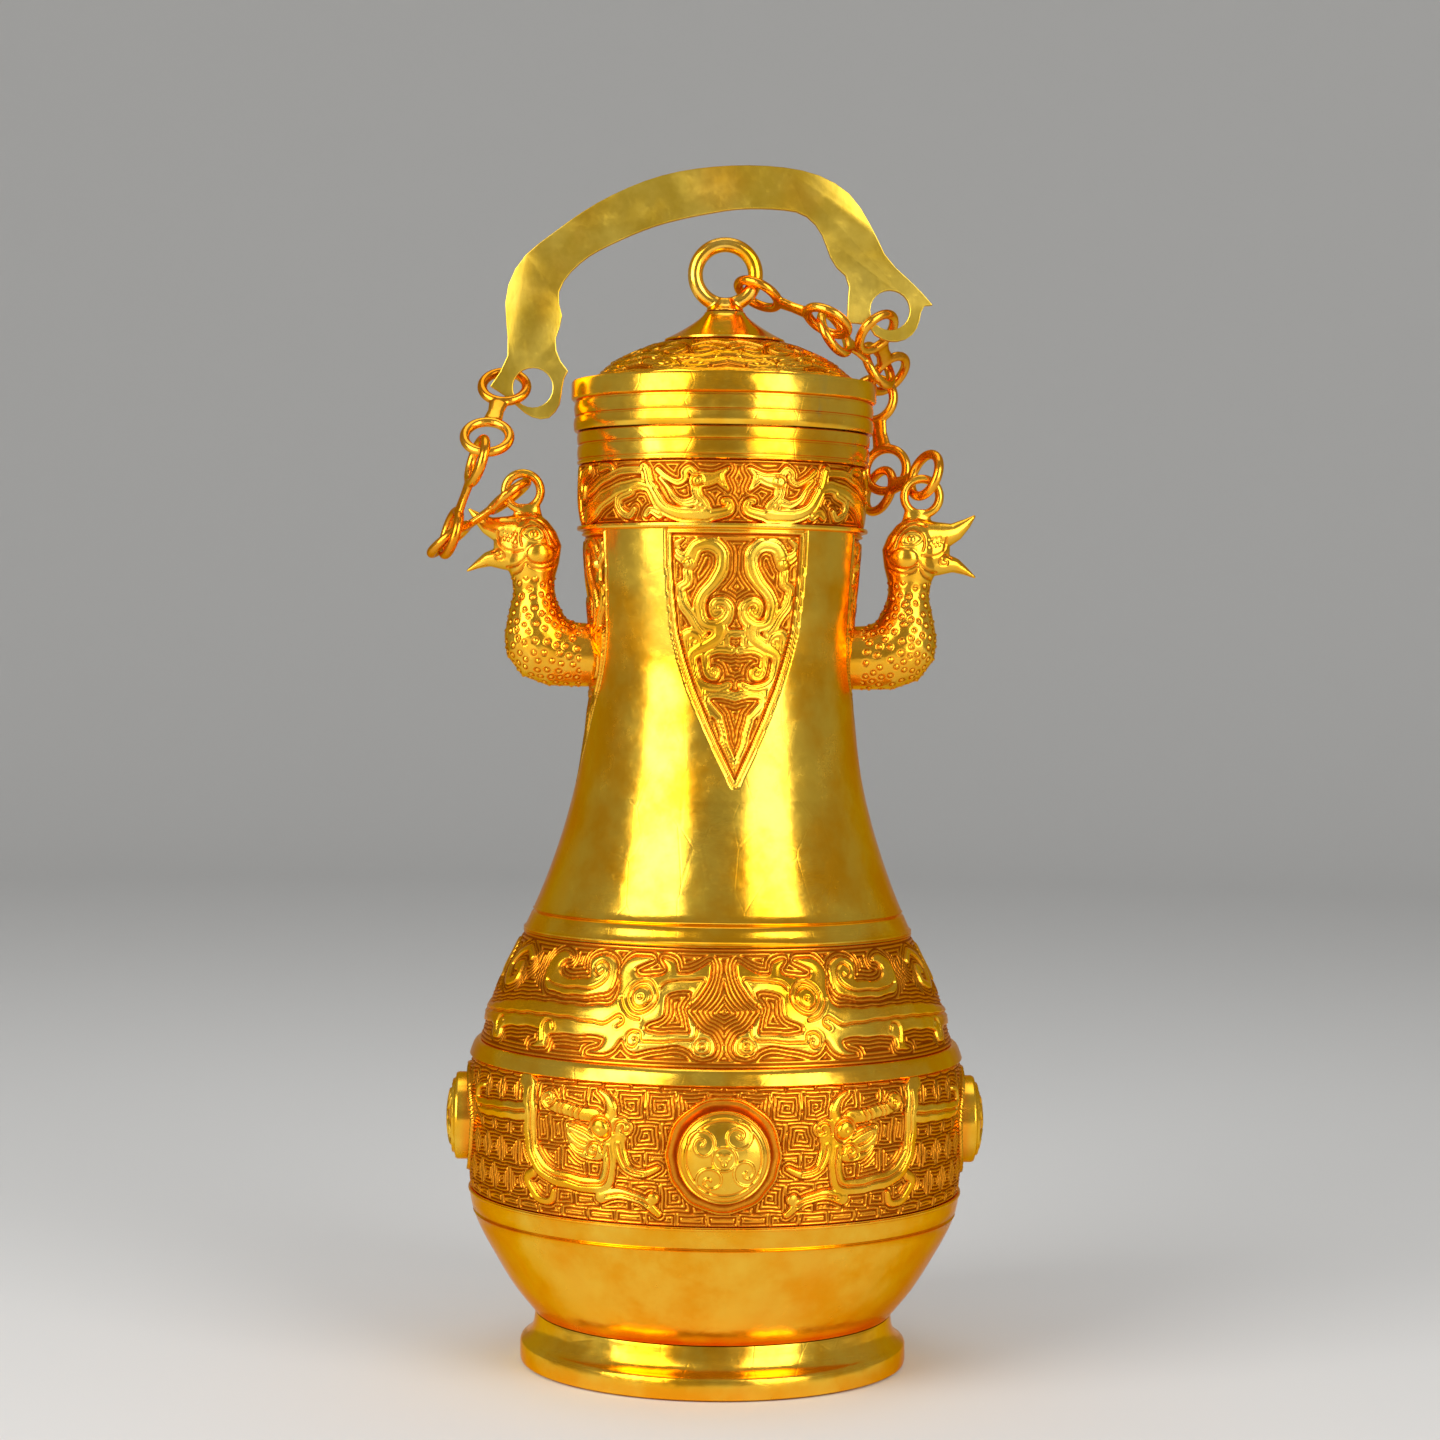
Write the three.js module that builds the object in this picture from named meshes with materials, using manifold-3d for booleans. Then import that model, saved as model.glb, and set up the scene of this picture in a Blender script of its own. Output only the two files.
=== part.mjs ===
// A lidded flask of cast and gilt bronze, with a bow-shaped handle that hangs on chains.
// Millimetres, +Z up. The origin is the middle of the foot's underside.
// The handle, the two bird heads and the lid's ring all lie in the XZ plane.

import * as THREE from 'three';
import { mergeVertices } from 'three/addons/utils/BufferGeometryUtils.js';
import Module from 'manifold-3d';

// Vessel
const bellyRadius = 70.1;
const bowlFootRadius = 50.3;
const waistRadius = 37.3;
const mouthRadius = 40.8;
const wall = 3;
const footTop = 13.9;
const bellyHeight = 70;
const waistHeight = 190;
const mouthHeight = 261.5;
const spigotRise = 12;
const spigotWall = 2;

// Foot
const footRadius = 54.5;
const footRimHeight = 6;
const footWall = 5;
const footFloor = 3;

// Whorl bosses on the belly
const bossRadius = 12.3;
const bossStandOff = 6.7;
const bossCount = 4;
const bossDrop = 1.5;

// Lid, measured up from the mouth
const lidOverhang = 1.5;
const lidRimOverhang = 0.7;
const lidBandHeight = 8.9;
const lidRimHeight = 5.4;
const lidLedge = 4.5;
const roofStepRadius = 16.8;
const roofRise = 11.6;
const coneTipRadius = 5.7;
const coneRise = 8.3;
const lidWall = 2.5;
const lidRingRadius = 8.45;
const lidRingWire = 3.9;
const lidRingStem = 5.2;
const lidRingStand = 0.3;

// Bird heads on the neck
const birdDrop = 61;
const birdReach = 53.2;
const breastRadius = 8.8;
const birdNeckRadius = 6.3;
const birdNeckRise = 15.5;
const birdHeadRadius = 7.8;
const birdHeadRise = 30;
const beakLength = 17.5;
const beakRootRadius = 3.2;
const beakTipRadius = 0.5;
const beakLift = 9;
const beakDrop = 7.9;
const birdLoopStem = 2.4;
const birdLoopRadius = 4.9;
const birdLoopWire = 2.3;
const birdLoopRise = 44.5;
const birdLoopLean = 3.2;

// Handle plate, measured up from a base line a little over the mouth
const handleStand = 1.6;
const handleThickness = 2.5;
const leftEye = [-53.9, 11];
const rightEye = [46.6, 34.3];
const eyeRadius = 5.6;

// Chain links: two flat rings joined by a bar
const linkRingRadius = 6.25;
const linkWire = 2.84;
const linkSpacing = 21.7;
const linkBarWidth = 3.6;

// How the chains lie at rest: where each first ring hangs from its eye's centre, and which way the
// chain's two jointed links bow, from the bird's or the lid's own place
const leftEyeHang = [-8, 0, 0.2];
const rightEyeHang = [-3.475, 1.878, -6.003];
const leftBow = [-22.6, -13.1, 32];
const rightBow = [-5.6, 17.7, 52.9];
const lidBow = [28.5, -4.4, 32.1];
const lidRingTaken = 0.7693;

// Clearances
const seatGap = 0.3;
const lidPlay = 0.4;

const roundSteps = 40;
const skinPoints = 26;
const kernel = await Module();
kernel.setup();

const gilt = new THREE.MeshStandardMaterial({ color: 0xe0a423, roughness: 0.3, metalness: 1 });
const handleGilt = new THREE.MeshStandardMaterial({ color: 0xc8a53c, roughness: 0.4, metalness: 1 });
const chainGilt = new THREE.MeshStandardMaterial({ color: 0xd28a1c, roughness: 0.35, metalness: 1 });

const flask = new THREE.Group();

function addPiece(name, geometry, material, parent = flask) {
  const mesh = new THREE.Mesh(geometry, material.clone());
  mesh.name = name;
  parent.add(mesh);
  return mesh;
}

// Joining and cutting closed shapes
function solidOf(geometry) {
  const bare = geometry.clone();
  bare.deleteAttribute('normal');
  bare.deleteAttribute('uv');
  const merged = mergeVertices(bare, 1e-4);
  return new kernel.Manifold(new kernel.Mesh({
    numProp: 3,
    vertProperties: new Float32Array(merged.attributes.position.array),
    triVerts: new Uint32Array(merged.index.array),
  }));
}

function geometryOf(solid) {
  const mesh = solid.getMesh();
  const geometry = new THREE.BufferGeometry();
  geometry.setAttribute('position', new THREE.BufferAttribute(mesh.vertProperties, 3));
  geometry.setIndex(new THREE.BufferAttribute(mesh.triVerts, 1));
  geometry.computeVertexNormals();
  return geometry;
}

function joined(geometries) {
  return geometries.map(solidOf).reduce((whole, next) => whole.add(next));
}

// A turned shape about +Z from [radius, height] pairs that close on themselves or on the axis
function turned(profile, steps = roundSteps) {
  const points = profile.map(([radius, height]) => new THREE.Vector2(radius, height));
  return new THREE.LatheGeometry(points, steps).rotateX(Math.PI / 2);
}

// A round bar, tapered if its two radii differ
function bar(from, to, startRadius, endRadius = startRadius, sides = 12) {
  const start = new THREE.Vector3(...from);
  const run = new THREE.Vector3(...to).sub(start);
  const geometry = new THREE.CylinderGeometry(endRadius, startRadius, run.length(), sides);
  const turn = new THREE.Quaternion().setFromUnitVectors(
    new THREE.Vector3(0, 1, 0), run.clone().normalize());
  return geometry.applyQuaternion(turn).translate(...start.addScaledVector(run, 0.5).toArray());
}

function ball(centre, radii, sides = 16) {
  return new THREE.SphereGeometry(1, sides, sides * 0.6).rotateX(Math.PI / 2)
    .scale(...radii).translate(...centre);
}

// Outer line of the bowl, shoulder and neck. Each row is a share of the height and of the swell.
const bowlShares = [[0, 0], [0.137, 0.313], [0.283, 0.571], [0.531, 0.914], [0.668, 0.975], [1, 1]];
const shoulderShares = [[0.105, 0.997], [0.2, 0.881], [0.295, 0.78], [0.437, 0.524],
  [0.6025, 0.277], [0.75, 0.122], [0.887, 0.04], [1, 0]];
const neckShares = [[0.356, 0.343], [0.629, 0.66], [1, 1]];

function stations(shares, [fromHeight, toHeight], [lowRadius, swell]) {
  return shares.map(([along, out]) =>
    new THREE.Vector2(lowRadius + swell * out, fromHeight + (toHeight - fromHeight) * along));
}

const outerLine = new THREE.SplineCurve([
  ...stations(bowlShares, [footTop + seatGap, bellyHeight],
    [bowlFootRadius, bellyRadius - bowlFootRadius]),
  ...stations(shoulderShares, [bellyHeight, waistHeight], [waistRadius, bellyRadius - waistRadius]),
  ...stations(neckShares, [waistHeight, mouthHeight], [waistRadius, mouthRadius - waistRadius]),
]);

function outerProfile(offset, points) {
  return outerLine.getSpacedPoints(points).map(p => [p.x + offset, p.y]);
}

const lidBandRadius = mouthRadius + lidOverhang;
const lidRimRadius = lidBandRadius + lidRimOverhang;

// Vessel: one hollow casting with a spigot that the lid fits over
const spigotRadius = lidBandRadius - lidWall - lidPlay;
const spigotTop = mouthHeight + spigotRise;
const vesselFloor = footTop + seatGap + wall;
const innerProfile = outerProfile(-wall, 16).filter(([, height]) => height > vesselFloor + wall);
const vesselSkin = outerProfile(0, skinPoints);
const vesselGeometry = turned([
  [0, footTop + seatGap],
  ...vesselSkin,
  [spigotRadius, mouthHeight],
  [spigotRadius, spigotTop],
  [spigotRadius - spigotWall, spigotTop],
  ...innerProfile.reverse(),
  [bowlFootRadius - wall, vesselFloor],
  [0, vesselFloor],
]);
addPiece('vessel', vesselGeometry, gilt);

// What is fixed to the vessel's side is cut to this slightly larger shape, so that it seats on it
const vesselSeat = solidOf(turned([
  [0, footTop],
  ...outerProfile(seatGap, skinPoints),
  [0, mouthHeight],
]));

// Foot: a flaring ring, closed below by a thin floor
addPiece('foot', turned([
  [0, 0],
  [footRadius, 0],
  [footRadius, footRimHeight],
  [footRadius - (footRadius - bowlFootRadius) * 0.7, (footRimHeight + footTop) / 2],
  [bowlFootRadius, footTop],
  [bowlFootRadius - footWall, footTop],
  [bowlFootRadius - footWall, footFloor],
  [0, footFloor],
]), gilt);

// Whorl bosses: low domes let into the decorated band, a quarter turn apart
const bossNames = ['boss_right', 'boss_back', 'boss_left', 'boss_front'];
const bossProfile = [
  [0, -wall * 2],
  [bossRadius, -wall * 2],
  [bossRadius, bossStandOff * 0.35],
  [bossRadius * 0.92, bossStandOff * 0.6],
  [bossRadius * 0.66, bossStandOff * 0.85],
  [bossRadius * 0.33, bossStandOff * 0.97],
  [0, bossStandOff],
];
for (let i = 0; i < bossCount; i++) {
  const boss = turned(bossProfile, 24).rotateY(Math.PI / 2)
    .translate(bellyRadius, 0, bellyHeight - bossDrop)
    .rotateZ(i * 2 * Math.PI / bossCount);
  addPiece(bossNames[i], geometryOf(solidOf(boss).subtract(vesselSeat)), gilt);
}

// Lid: a flat-rimmed cap with a low roof and a plain cone
const lid = new THREE.Group();
lid.position.z = mouthHeight + seatGap;
flask.add(lid);
const rimTop = lidBandHeight + lidRimHeight;
const roofTop = rimTop + roofRise;
const coneTop = roofTop + coneRise;
const roofFootRadius = lidRimRadius - lidLedge;
const ceiling = spigotRise + seatGap;
const roofShares = [[0.813, 0.47], [0.66, 0.724], [0.532, 0.89]];
addPiece('lid', turned([
  [lidBandRadius, 0],
  [lidBandRadius, lidBandHeight],
  [lidRimRadius, lidBandHeight],
  [lidRimRadius, rimTop],
  [roofFootRadius, rimTop],
  ...roofShares.map(([out, up]) => [roofFootRadius * out, rimTop + roofRise * up]),
  [roofStepRadius, roofTop],
  [roofStepRadius * 0.66, roofTop + coneRise * 0.53],
  [coneTipRadius, coneTop],
  [0, coneTop],
  [0, coneTop - lidWall * 1.5],
  [roofStepRadius - lidWall, roofTop - lidWall],
  [roofFootRadius - lidWall * 3, ceiling + lidWall * 2],
  [roofFootRadius - lidWall, ceiling],
  [lidBandRadius - lidWall, ceiling],
  [lidBandRadius - lidWall, 0],
  [lidBandRadius, 0],
]), gilt, lid);

// Ring on the lid, standing on a short stem on the cone's tip
const ringHeight = coneTop + lidRingStand + lidRingRadius + lidRingWire / 2;
addPiece('lid_ring', geometryOf(joined([
  new THREE.TorusGeometry(lidRingRadius, lidRingWire / 2, 10, 30).rotateX(Math.PI / 2)
    .translate(0, 0, ringHeight),
  turned([[0, coneTop + seatGap], [lidRingStem, coneTop + seatGap],
    [lidRingStem * 0.8, coneTop + lidRingWire * 0.7], [0, coneTop + lidRingWire * 0.7]], 20),
])), gilt, lid);

// Bird head: breast and neck rise from the vessel's side, and a loop stands on the crown.
// It is drawn facing +X. The left one is the same casting turned half round.
const birdHeight = mouthHeight - birdDrop;
function birdSolid() {
  const at = (x, z) => [x, 0, birdHeight + z];
  const chest = birdReach - birdNeckRadius * 0.4;
  const head = birdReach + birdNeckRadius * 0.06;
  const beakRoot = head + birdHeadRadius * 0.65;
  const beakTip = head + beakLength;
  const loop = birdReach + birdLoopLean;
  return joined([
    bar(at(waistRadius - wall, 0), at(chest, 0), breastRadius, breastRadius, 16),
    ball(at(chest, 0), [breastRadius, breastRadius, breastRadius]),
    bar(at(chest, 0), at(birdReach, birdNeckRise), breastRadius * 0.98, birdNeckRadius, 16),
    bar(at(birdReach, birdNeckRise), at(head, birdHeadRise), birdNeckRadius, birdNeckRadius, 16),
    ball(at(head, birdHeadRise), [birdHeadRadius, birdHeadRadius * 0.85, birdHeadRadius]),
    bar(at(beakRoot, birdHeadRise + beakLift * 0.29), at(beakTip, birdHeadRise + beakLift),
      beakRootRadius, beakTipRadius),
    bar(at(beakRoot, birdHeadRise - beakDrop * 0.19), at(beakTip, birdHeadRise - beakDrop),
      beakRootRadius, beakTipRadius),
    bar(at(head, birdHeadRise + birdHeadRadius * 0.64), at(loop, birdLoopRise - birdLoopRadius),
      birdLoopStem, birdLoopWire * 0.6),
    new THREE.TorusGeometry(birdLoopRadius, birdLoopWire / 2, 8, 22).rotateX(Math.PI / 2)
      .translate(...at(loop, birdLoopRise)),
  ]);
}
const birdShape = birdSolid().subtract(vesselSeat);
addPiece('right_bird', geometryOf(birdShape), gilt);
addPiece('left_bird', geometryOf(birdShape).rotateZ(Math.PI), gilt);
const rightLoop = new THREE.Vector3(birdReach + birdLoopLean, 0, birdHeight + birdLoopRise);
const leftLoop = new THREE.Vector3(-rightLoop.x, 0, rightLoop.z);

// Handle: a flat bow with an open-mouthed animal head at each end.
// Its outline is [x, height over the base line], in four runs between the four jaw points.
const handleBase = mouthHeight + handleStand;
const overBow = [[-65.9, 11.2], [-61.4, 18.7], [-61.2, 26], [-61.9, 34], [-60.7, 40.9], [-57.2, 47.1],
  [-51.7, 52.2], [-35.7, 63.5], [-17.6, 71.3], [2.6, 74.3], [21.8, 73.1], [34, 67.4], [41.2, 57.4],
  [44.3, 50.9], [48.4, 45.9], [53.6, 41.4], [58.7, 35.9]];
const rightHead = [[58.7, 35.9], [55.8, 35.4], [55.2, 32.3], [53.7, 28.3], [50.7, 26], [46.7, 25.5],
  [42.6, 27.1], [40, 30], [34.5, 30.6]];
const underBow = [[34.5, 30.6], [34.6, 36.1], [34.9, 41.2], [34, 43.7], [31.3, 46.2], [29.2, 49.7],
  [27.6, 54.2], [25.1, 58.2], [22, 60.7], [17.9, 61.9], [8.8, 62.3], [-1.3, 61.4], [-19.4, 57.1],
  [-35.5, 49.9], [-42.5, 44.7], [-46, 40.1], [-47, 36.1], [-45.9, 31.5], [-46.4, 28.5],
  [-47.7, 24.4], [-47.2, 20.9], [-45.8, 18], [-44, 15.8]];
const leftHead = [[-44, 15.8], [-45.2, 13.4], [-45.7, 10.1], [-46.4, 6.1], [-48.8, 2.9], [-51.4, 2.2],
  [-55.1, 3.2], [-58.5, 5.9], [-61.5, 8.4], [-65.9, 11.2]];

function smoothRun(points, steps) {
  const curve = new THREE.SplineCurve(points.map(([x, y]) => new THREE.Vector2(x, y)));
  return curve.getSpacedPoints(steps).slice(0, -1);
}
const handleShape = new THREE.Shape([
  ...smoothRun(overBow, 36), ...smoothRun(rightHead, 14),
  ...smoothRun(underBow, 40), ...smoothRun(leftHead, 14),
]);
for (const [x, rise] of [leftEye, rightEye]) {
  const rim = new THREE.EllipseCurve(x, rise, eyeRadius, eyeRadius);
  handleShape.holes.push(new THREE.Path(rim.getPoints(24).slice(0, -1)));
}
const handleGeometry = new THREE.ExtrudeGeometry(handleShape,
  { depth: handleThickness, bevelEnabled: false });
handleGeometry.rotateX(Math.PI / 2).translate(0, handleThickness / 2, handleBase);
addPiece('handle', handleGeometry, handleGilt);

// Chain link, drawn along +X from the centre of its first ring, with both rings in one plane
const ringMiddle = new THREE.TorusGeometry(linkRingRadius, linkWire / 2, 6, 18);
const linkBar = new THREE.BoxGeometry(linkSpacing - 2 * linkRingRadius, linkBarWidth, linkWire * 0.8);
const linkGeometry = geometryOf(joined([
  ringMiddle,
  ringMiddle.clone().translate(linkSpacing, 0, 0),
  linkBar.translate(linkSpacing / 2, 0, 0),
]));

// Places a link from its first ring's centre to its second, with the flat side facing a way
function addLink(name, first, second, facing) {
  const along = second.clone().sub(first).normalize();
  const across = new THREE.Vector3(...facing).cross(along).normalize();
  const out = along.clone().cross(across);
  const turn = new THREE.Matrix4().makeBasis(along, across, out);
  const link = addPiece(name, linkGeometry.clone(), chainGilt);
  link.quaternion.setFromRotationMatrix(turn);
  link.position.copy(first);
}

// Steps from one ring's centre to the next one's, in ring radii
function step(from, shares) {
  return from.clone().addScaledVector(new THREE.Vector3(...shares), linkRingRadius);
}

function linkEnd(first, direction) {
  return first.clone().addScaledVector(new THREE.Vector3(...direction).normalize(), linkSpacing);
}

// Where two links of one length meet between two points, on the side of a third
function elbow(start, end, towards) {
  const half = end.clone().sub(start).multiplyScalar(0.5);
  const middle = start.clone().add(half);
  const side = new THREE.Vector3(...towards).sub(middle).projectOnPlane(half.clone().normalize());
  const rise = Math.sqrt(linkSpacing ** 2 - half.lengthSq());
  return middle.addScaledVector(side.normalize(), rise);
}

function eyeCentre([x, rise]) {
  return new THREE.Vector3(x, 0, handleBase + rise);
}

// Left chain: handle, three links, left bird. The lowest two meet beside the bird's beak.
const leftTop = eyeCentre(leftEye).add(new THREE.Vector3(...leftEyeHang));
const leftTopEnd = linkEnd(leftTop, [-0.19, -0.689, -0.7]);
const leftMiddle = step(leftTopEnd, [-0.402, -0.546, -1.094]);
const leftFold = [-0.101, 0.481, -0.268];
const leftBottomEnd = step(leftLoop, [-0.596, -0.513, -0.259]);
const leftMiddleEnd = elbow(leftMiddle, step(leftBottomEnd, leftFold.map(share => -share)),
  [leftBow[0] - birdReach, leftBow[1], leftBow[2] + birdHeight]);
addLink('left_link_top', leftTop, leftTopEnd, [0, -0.712, 0.702]);
addLink('left_link_middle', leftMiddle, leftMiddleEnd, [0.923, 0.276, -0.267]);
addLink('left_link_bottom', step(leftMiddleEnd, leftFold), leftBottomEnd, [-0.626, 0.071, 0.776]);

// Right chain: handle, three links behind the neck's right side, right bird
const rightTop = eyeCentre(rightEye).add(new THREE.Vector3(...rightEyeHang));
const rightTopEnd = linkEnd(rightTop, [0.236, 0.854, -0.464]);
const rightMiddle = step(rightTopEnd, [-0.667, 0.439, -1.156]);
const rightFold = [-0.314, -0.036, -0.978];
const rightBottomEnd = step(rightLoop, [0.123, -0.09, 0.965]);
const rightMiddleEnd = elbow(rightMiddle, step(rightBottomEnd, rightFold.map(share => -share)),
  [rightBow[0] + birdReach, rightBow[1], rightBow[2] + birdHeight]);
addLink('right_link_top', rightTop, rightTopEnd, [0.594, -0.504, -0.627]);
addLink('right_link_middle', rightMiddle, rightMiddleEnd, [0.428, 0.889, -0.161]);
addLink('right_link_bottom', step(rightMiddleEnd, rightFold), rightBottomEnd, [0.832, 0.468, -0.296]);

// Lid chain: two links from the lid's ring into the lower ring of the right chain's top link
const ringCentre = new THREE.Vector3(0, 0, lid.position.z + ringHeight);
const lidRingPlay = linkRingRadius - (linkWire + lidRingWire) / 2;
const upper = ringCentre.clone().addScaledVector(
  new THREE.Vector3(1.104, 0.059, -0.609).normalize(), lidRingRadius + lidRingTaken * lidRingPlay);
const lidFold = [0.386, 0.829, -0.456];
const lowerEnd = step(rightTopEnd, [-0.571, -0.884, 0.301]);
const upperEnd = elbow(upper, step(lowerEnd, lidFold.map(share => -share)),
  [lidBow[0], lidBow[1], lidBow[2] + mouthHeight]);
addLink('lid_link_upper', upper, upperEnd, [-0.484, -0.312, -0.818]);
addLink('lid_link_lower', step(upperEnd, lidFold), lowerEnd, [0.767, -0.463, 0.444]);

export default flask;
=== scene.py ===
import math

import bmesh
import bpy
import numpy as np
from mathutils import Matrix, Vector, kdtree


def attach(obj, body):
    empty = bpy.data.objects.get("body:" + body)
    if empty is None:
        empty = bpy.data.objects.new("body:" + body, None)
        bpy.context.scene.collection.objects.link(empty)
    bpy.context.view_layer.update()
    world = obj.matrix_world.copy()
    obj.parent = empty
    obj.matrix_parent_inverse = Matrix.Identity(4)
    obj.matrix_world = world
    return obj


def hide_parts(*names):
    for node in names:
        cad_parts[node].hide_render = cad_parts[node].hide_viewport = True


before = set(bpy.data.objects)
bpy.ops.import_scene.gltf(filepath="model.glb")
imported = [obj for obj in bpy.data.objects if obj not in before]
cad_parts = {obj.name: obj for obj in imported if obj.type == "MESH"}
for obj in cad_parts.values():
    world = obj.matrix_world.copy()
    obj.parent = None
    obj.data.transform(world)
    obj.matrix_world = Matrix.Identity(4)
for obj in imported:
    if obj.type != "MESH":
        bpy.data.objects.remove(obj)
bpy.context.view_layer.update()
MM = 0.001


# Vessel wall
# Bowl, shoulder and neck are one hollow bronze casting, gilt all over and polished where it is plain.
# The decorated zones are sunk a little, and their relief panels are cast into them.
BOWL_LINE = [(50.3, 14.2), (56.5, 21.8), (61.6, 30.0), (68.4, 43.8), (69.6, 51.5), (70.1, 60.0), (70.1, 70.0),
             (70.0, 82.6), (66.2, 94.0), (62.9, 105.4), (57.2, 116.7), (54.5, 122.4), (50.7, 130.9),
             (46.4, 142.3), (42.9, 153.6), (40.2, 165.0), (38.6, 176.4), (37.6, 187.7), (37.3, 190.6),
             (38.5, 216.0), (39.5, 230.0), (39.9, 236.0), (40.6, 240.0), (40.8, 252.0), (40.8, 261.5)]
LOW_BAND = (49.4, 86.3)
HIGH_BAND = (90.9, 121.6)
BLADE_ZONE = (160.0, 233.7)
NECK_BAND = (235.4, 252.5)
ZONE_DEPTH = 1.5
WALL = 4.2


def wall_radius(z):
    """Outer radius at a height, on a smooth line through the measured stations."""
    radii, heights = np.array(BOWL_LINE).T
    slopes = np.gradient(radii, heights)
    z = np.clip(z, heights[0], heights[-1])
    i = np.clip(np.searchsorted(heights, z) - 1, 0, len(heights) - 2)
    step = heights[i + 1] - heights[i]
    t = (z - heights[i]) / step
    return ((2 * t**3 - 3 * t**2 + 1) * radii[i] + (t**3 - 2 * t**2 + t) * step * slopes[i]
            + (-2 * t**3 + 3 * t**2) * radii[i + 1] + (t**3 - t**2) * step * slopes[i + 1])


def finish_mesh(name, bm, body, nodes=(), sharp=38):
    """Turns a bmesh into a piece that rides on a body and stands for CAD nodes."""
    mesh = bpy.data.meshes.new(name)
    bm.to_mesh(mesh)
    bm.free()
    piece = bpy.data.objects.new(name, mesh)
    bpy.context.scene.collection.objects.link(piece)
    mesh.shade_smooth()
    if sharp:
        mesh.set_sharp_from_angle(angle=math.radians(sharp))
    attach(piece, body)
    if nodes:
        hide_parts(*nodes)
    return piece


def gild(piece, material):
    """Gives a piece its finish."""
    piece.data.materials.append(material)


def read_points(piece, kind="co"):
    """The places or normals of a piece's vertices, one row each."""
    points = np.empty(len(piece.data.vertices) * 3)
    piece.data.vertices.foreach_get(kind, points)
    return points.reshape(-1, 3)


def write_points(piece, points, level):
    """Moves a piece's vertices and keeps how high each lies in the relief."""
    piece.data.vertices.foreach_set("co", points.ravel())
    piece.data.attributes.new("relief", "FLOAT", "POINT").data.foreach_set("value", level)
    piece.data.update()


def spun(points, steps, near, angle=2 * math.pi):
    """A line of points swept about the flask's axis. After a full turn, points nearer than near merge."""
    bm = bmesh.new()
    full = angle == 2 * math.pi
    line = [bm.verts.new(point) for point in points]
    edges = [bm.edges.new(pair) for pair in zip(line, line[1:])]
    bmesh.ops.spin(bm, geom=line + edges, cent=(0, 0, 0), axis=(0, 0, 1), angle=angle, steps=steps,
                   use_merge=full)
    if full:
        bmesh.ops.remove_doubles(bm, verts=bm.verts, dist=near)
    return bm


def turned(profile):
    """A full turn of a profile of (radius, height) pairs in mm about the flask's axis."""
    bm = spun([(radius * MM, 0, height * MM) for radius, height in profile], 240, 2e-7)
    bmesh.ops.recalc_face_normals(bm, faces=bm.faces)
    return bm


def wall_run(low, high, step=2.0):
    """Plain stretch of the wall between two heights."""
    count = max(2, round((high - low) / step) + 1)
    return [(float(wall_radius(z)), float(z)) for z in np.linspace(low, high, count)]


def sunk(low, high):
    """A stretch that is sunk for a relief panel, with square steps at both ends."""
    run = wall_run(low, high, 3.0)
    return [(run[0][0], low)] + [(r - ZONE_DEPTH, z) for r, z in run] + [(run[-1][0], high)]


def cut_line(z, width=0.9, depth=0.55):
    """A turned groove round the wall."""
    r = float(wall_radius(z))
    return [(r, z - width / 2), (r - depth * 0.8, z - width / 5), (r - depth, z),
            (r - depth * 0.8, z + width / 5), (r, z + width / 2)]


def lip(z, swell=0.3, width=0.8):
    """A narrow raised line beside a decorated zone."""
    r = float(wall_radius(z))
    return [(r + 0.02, z - width / 2), (r + swell, z - width / 4), (r + swell, z + width / 4),
            (r + 0.02, z + width / 2)]


mouth_rings = [(40.75, 252.5), (41.15, 252.8), (41.2, 253.35), (40.55, 253.55), (40.55, 253.9),
               (41.05, 254.05), (41.25, 255.7), (41.1, 257.5), (40.45, 257.7), (40.45, 258.1), (41.15, 258.3),
               (41.35, 259.9), (41.2, 261.2), (40.9, 261.5)]
outer = (wall_run(14.2, 42.6) + cut_line(43.2) + wall_run(43.8, 48.2) + lip(48.8) + sunk(*LOW_BAND)
         + [(float(wall_radius(z)) + swell, z) for z, swell in (
             (86.4, 0.3), (86.8, 0.7), (88.0, 0.75), (89.6, 0.75), (90.3, 0.6), (90.8, 0.2))]
         + sunk(*HIGH_BAND) + lip(122.4) + wall_run(123.2, 126.6, 1.2) + cut_line(127.3)
         + wall_run(128.0, 159.9) + sunk(*BLADE_ZONE)
         + [(40.0, 233.9), (40.9, 234.1), (41.1, 234.6), (40.9, 235.2)] + sunk(*NECK_BAND) + mouth_rings)
inner = [(37.6, 261.6), (37.6, 273.5), (35.6, 273.5)]
inner += [(float(wall_radius(z)) - WALL, float(z)) for z in np.linspace(260.5, 19, 60)] + [(0, 17.3)]
vessel_wall = finish_mesh("vessel_wall", turned([(0, 14.2)] + outer + inner), "flask", ["vessel"])


# Gilding
# Fire gilding over cast bronze: bright yellow gold on worn high places, deep orange-red in the recesses,
# darkened further there as painted shade.
# Polishing leaves fine scratches and soft dull patches, and greenish stains stay on the plain neck.
class Value:
    """One output of a shader node. Arithmetic on it adds Math nodes."""

    def __init__(self, paint, socket):
        self.paint = paint
        self.socket = socket

    def maths(self, operation, first, second):
        return self.paint.add("ShaderNodeMath", {"operation": operation}, {0: first, 1: second})

    def __add__(self, other):
        return self.maths("ADD", self, other)

    def __radd__(self, other):
        return self.maths("ADD", other, self)

    def __sub__(self, other):
        return self.maths("SUBTRACT", self, other)

    def __rsub__(self, other):
        return self.maths("SUBTRACT", other, self)

    def __mul__(self, other):
        return self.maths("MULTIPLY", self, other)

    def __rmul__(self, other):
        return self.maths("MULTIPLY", other, self)

    def between(self, low, high):
        """0 below low, 1 above high, with soft ends."""
        return self.paint.add("ShaderNodeMapRange", {"interpolation_type": "SMOOTHSTEP"},
                              {"Value": self, "From Min": low, "From Max": high})


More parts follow.
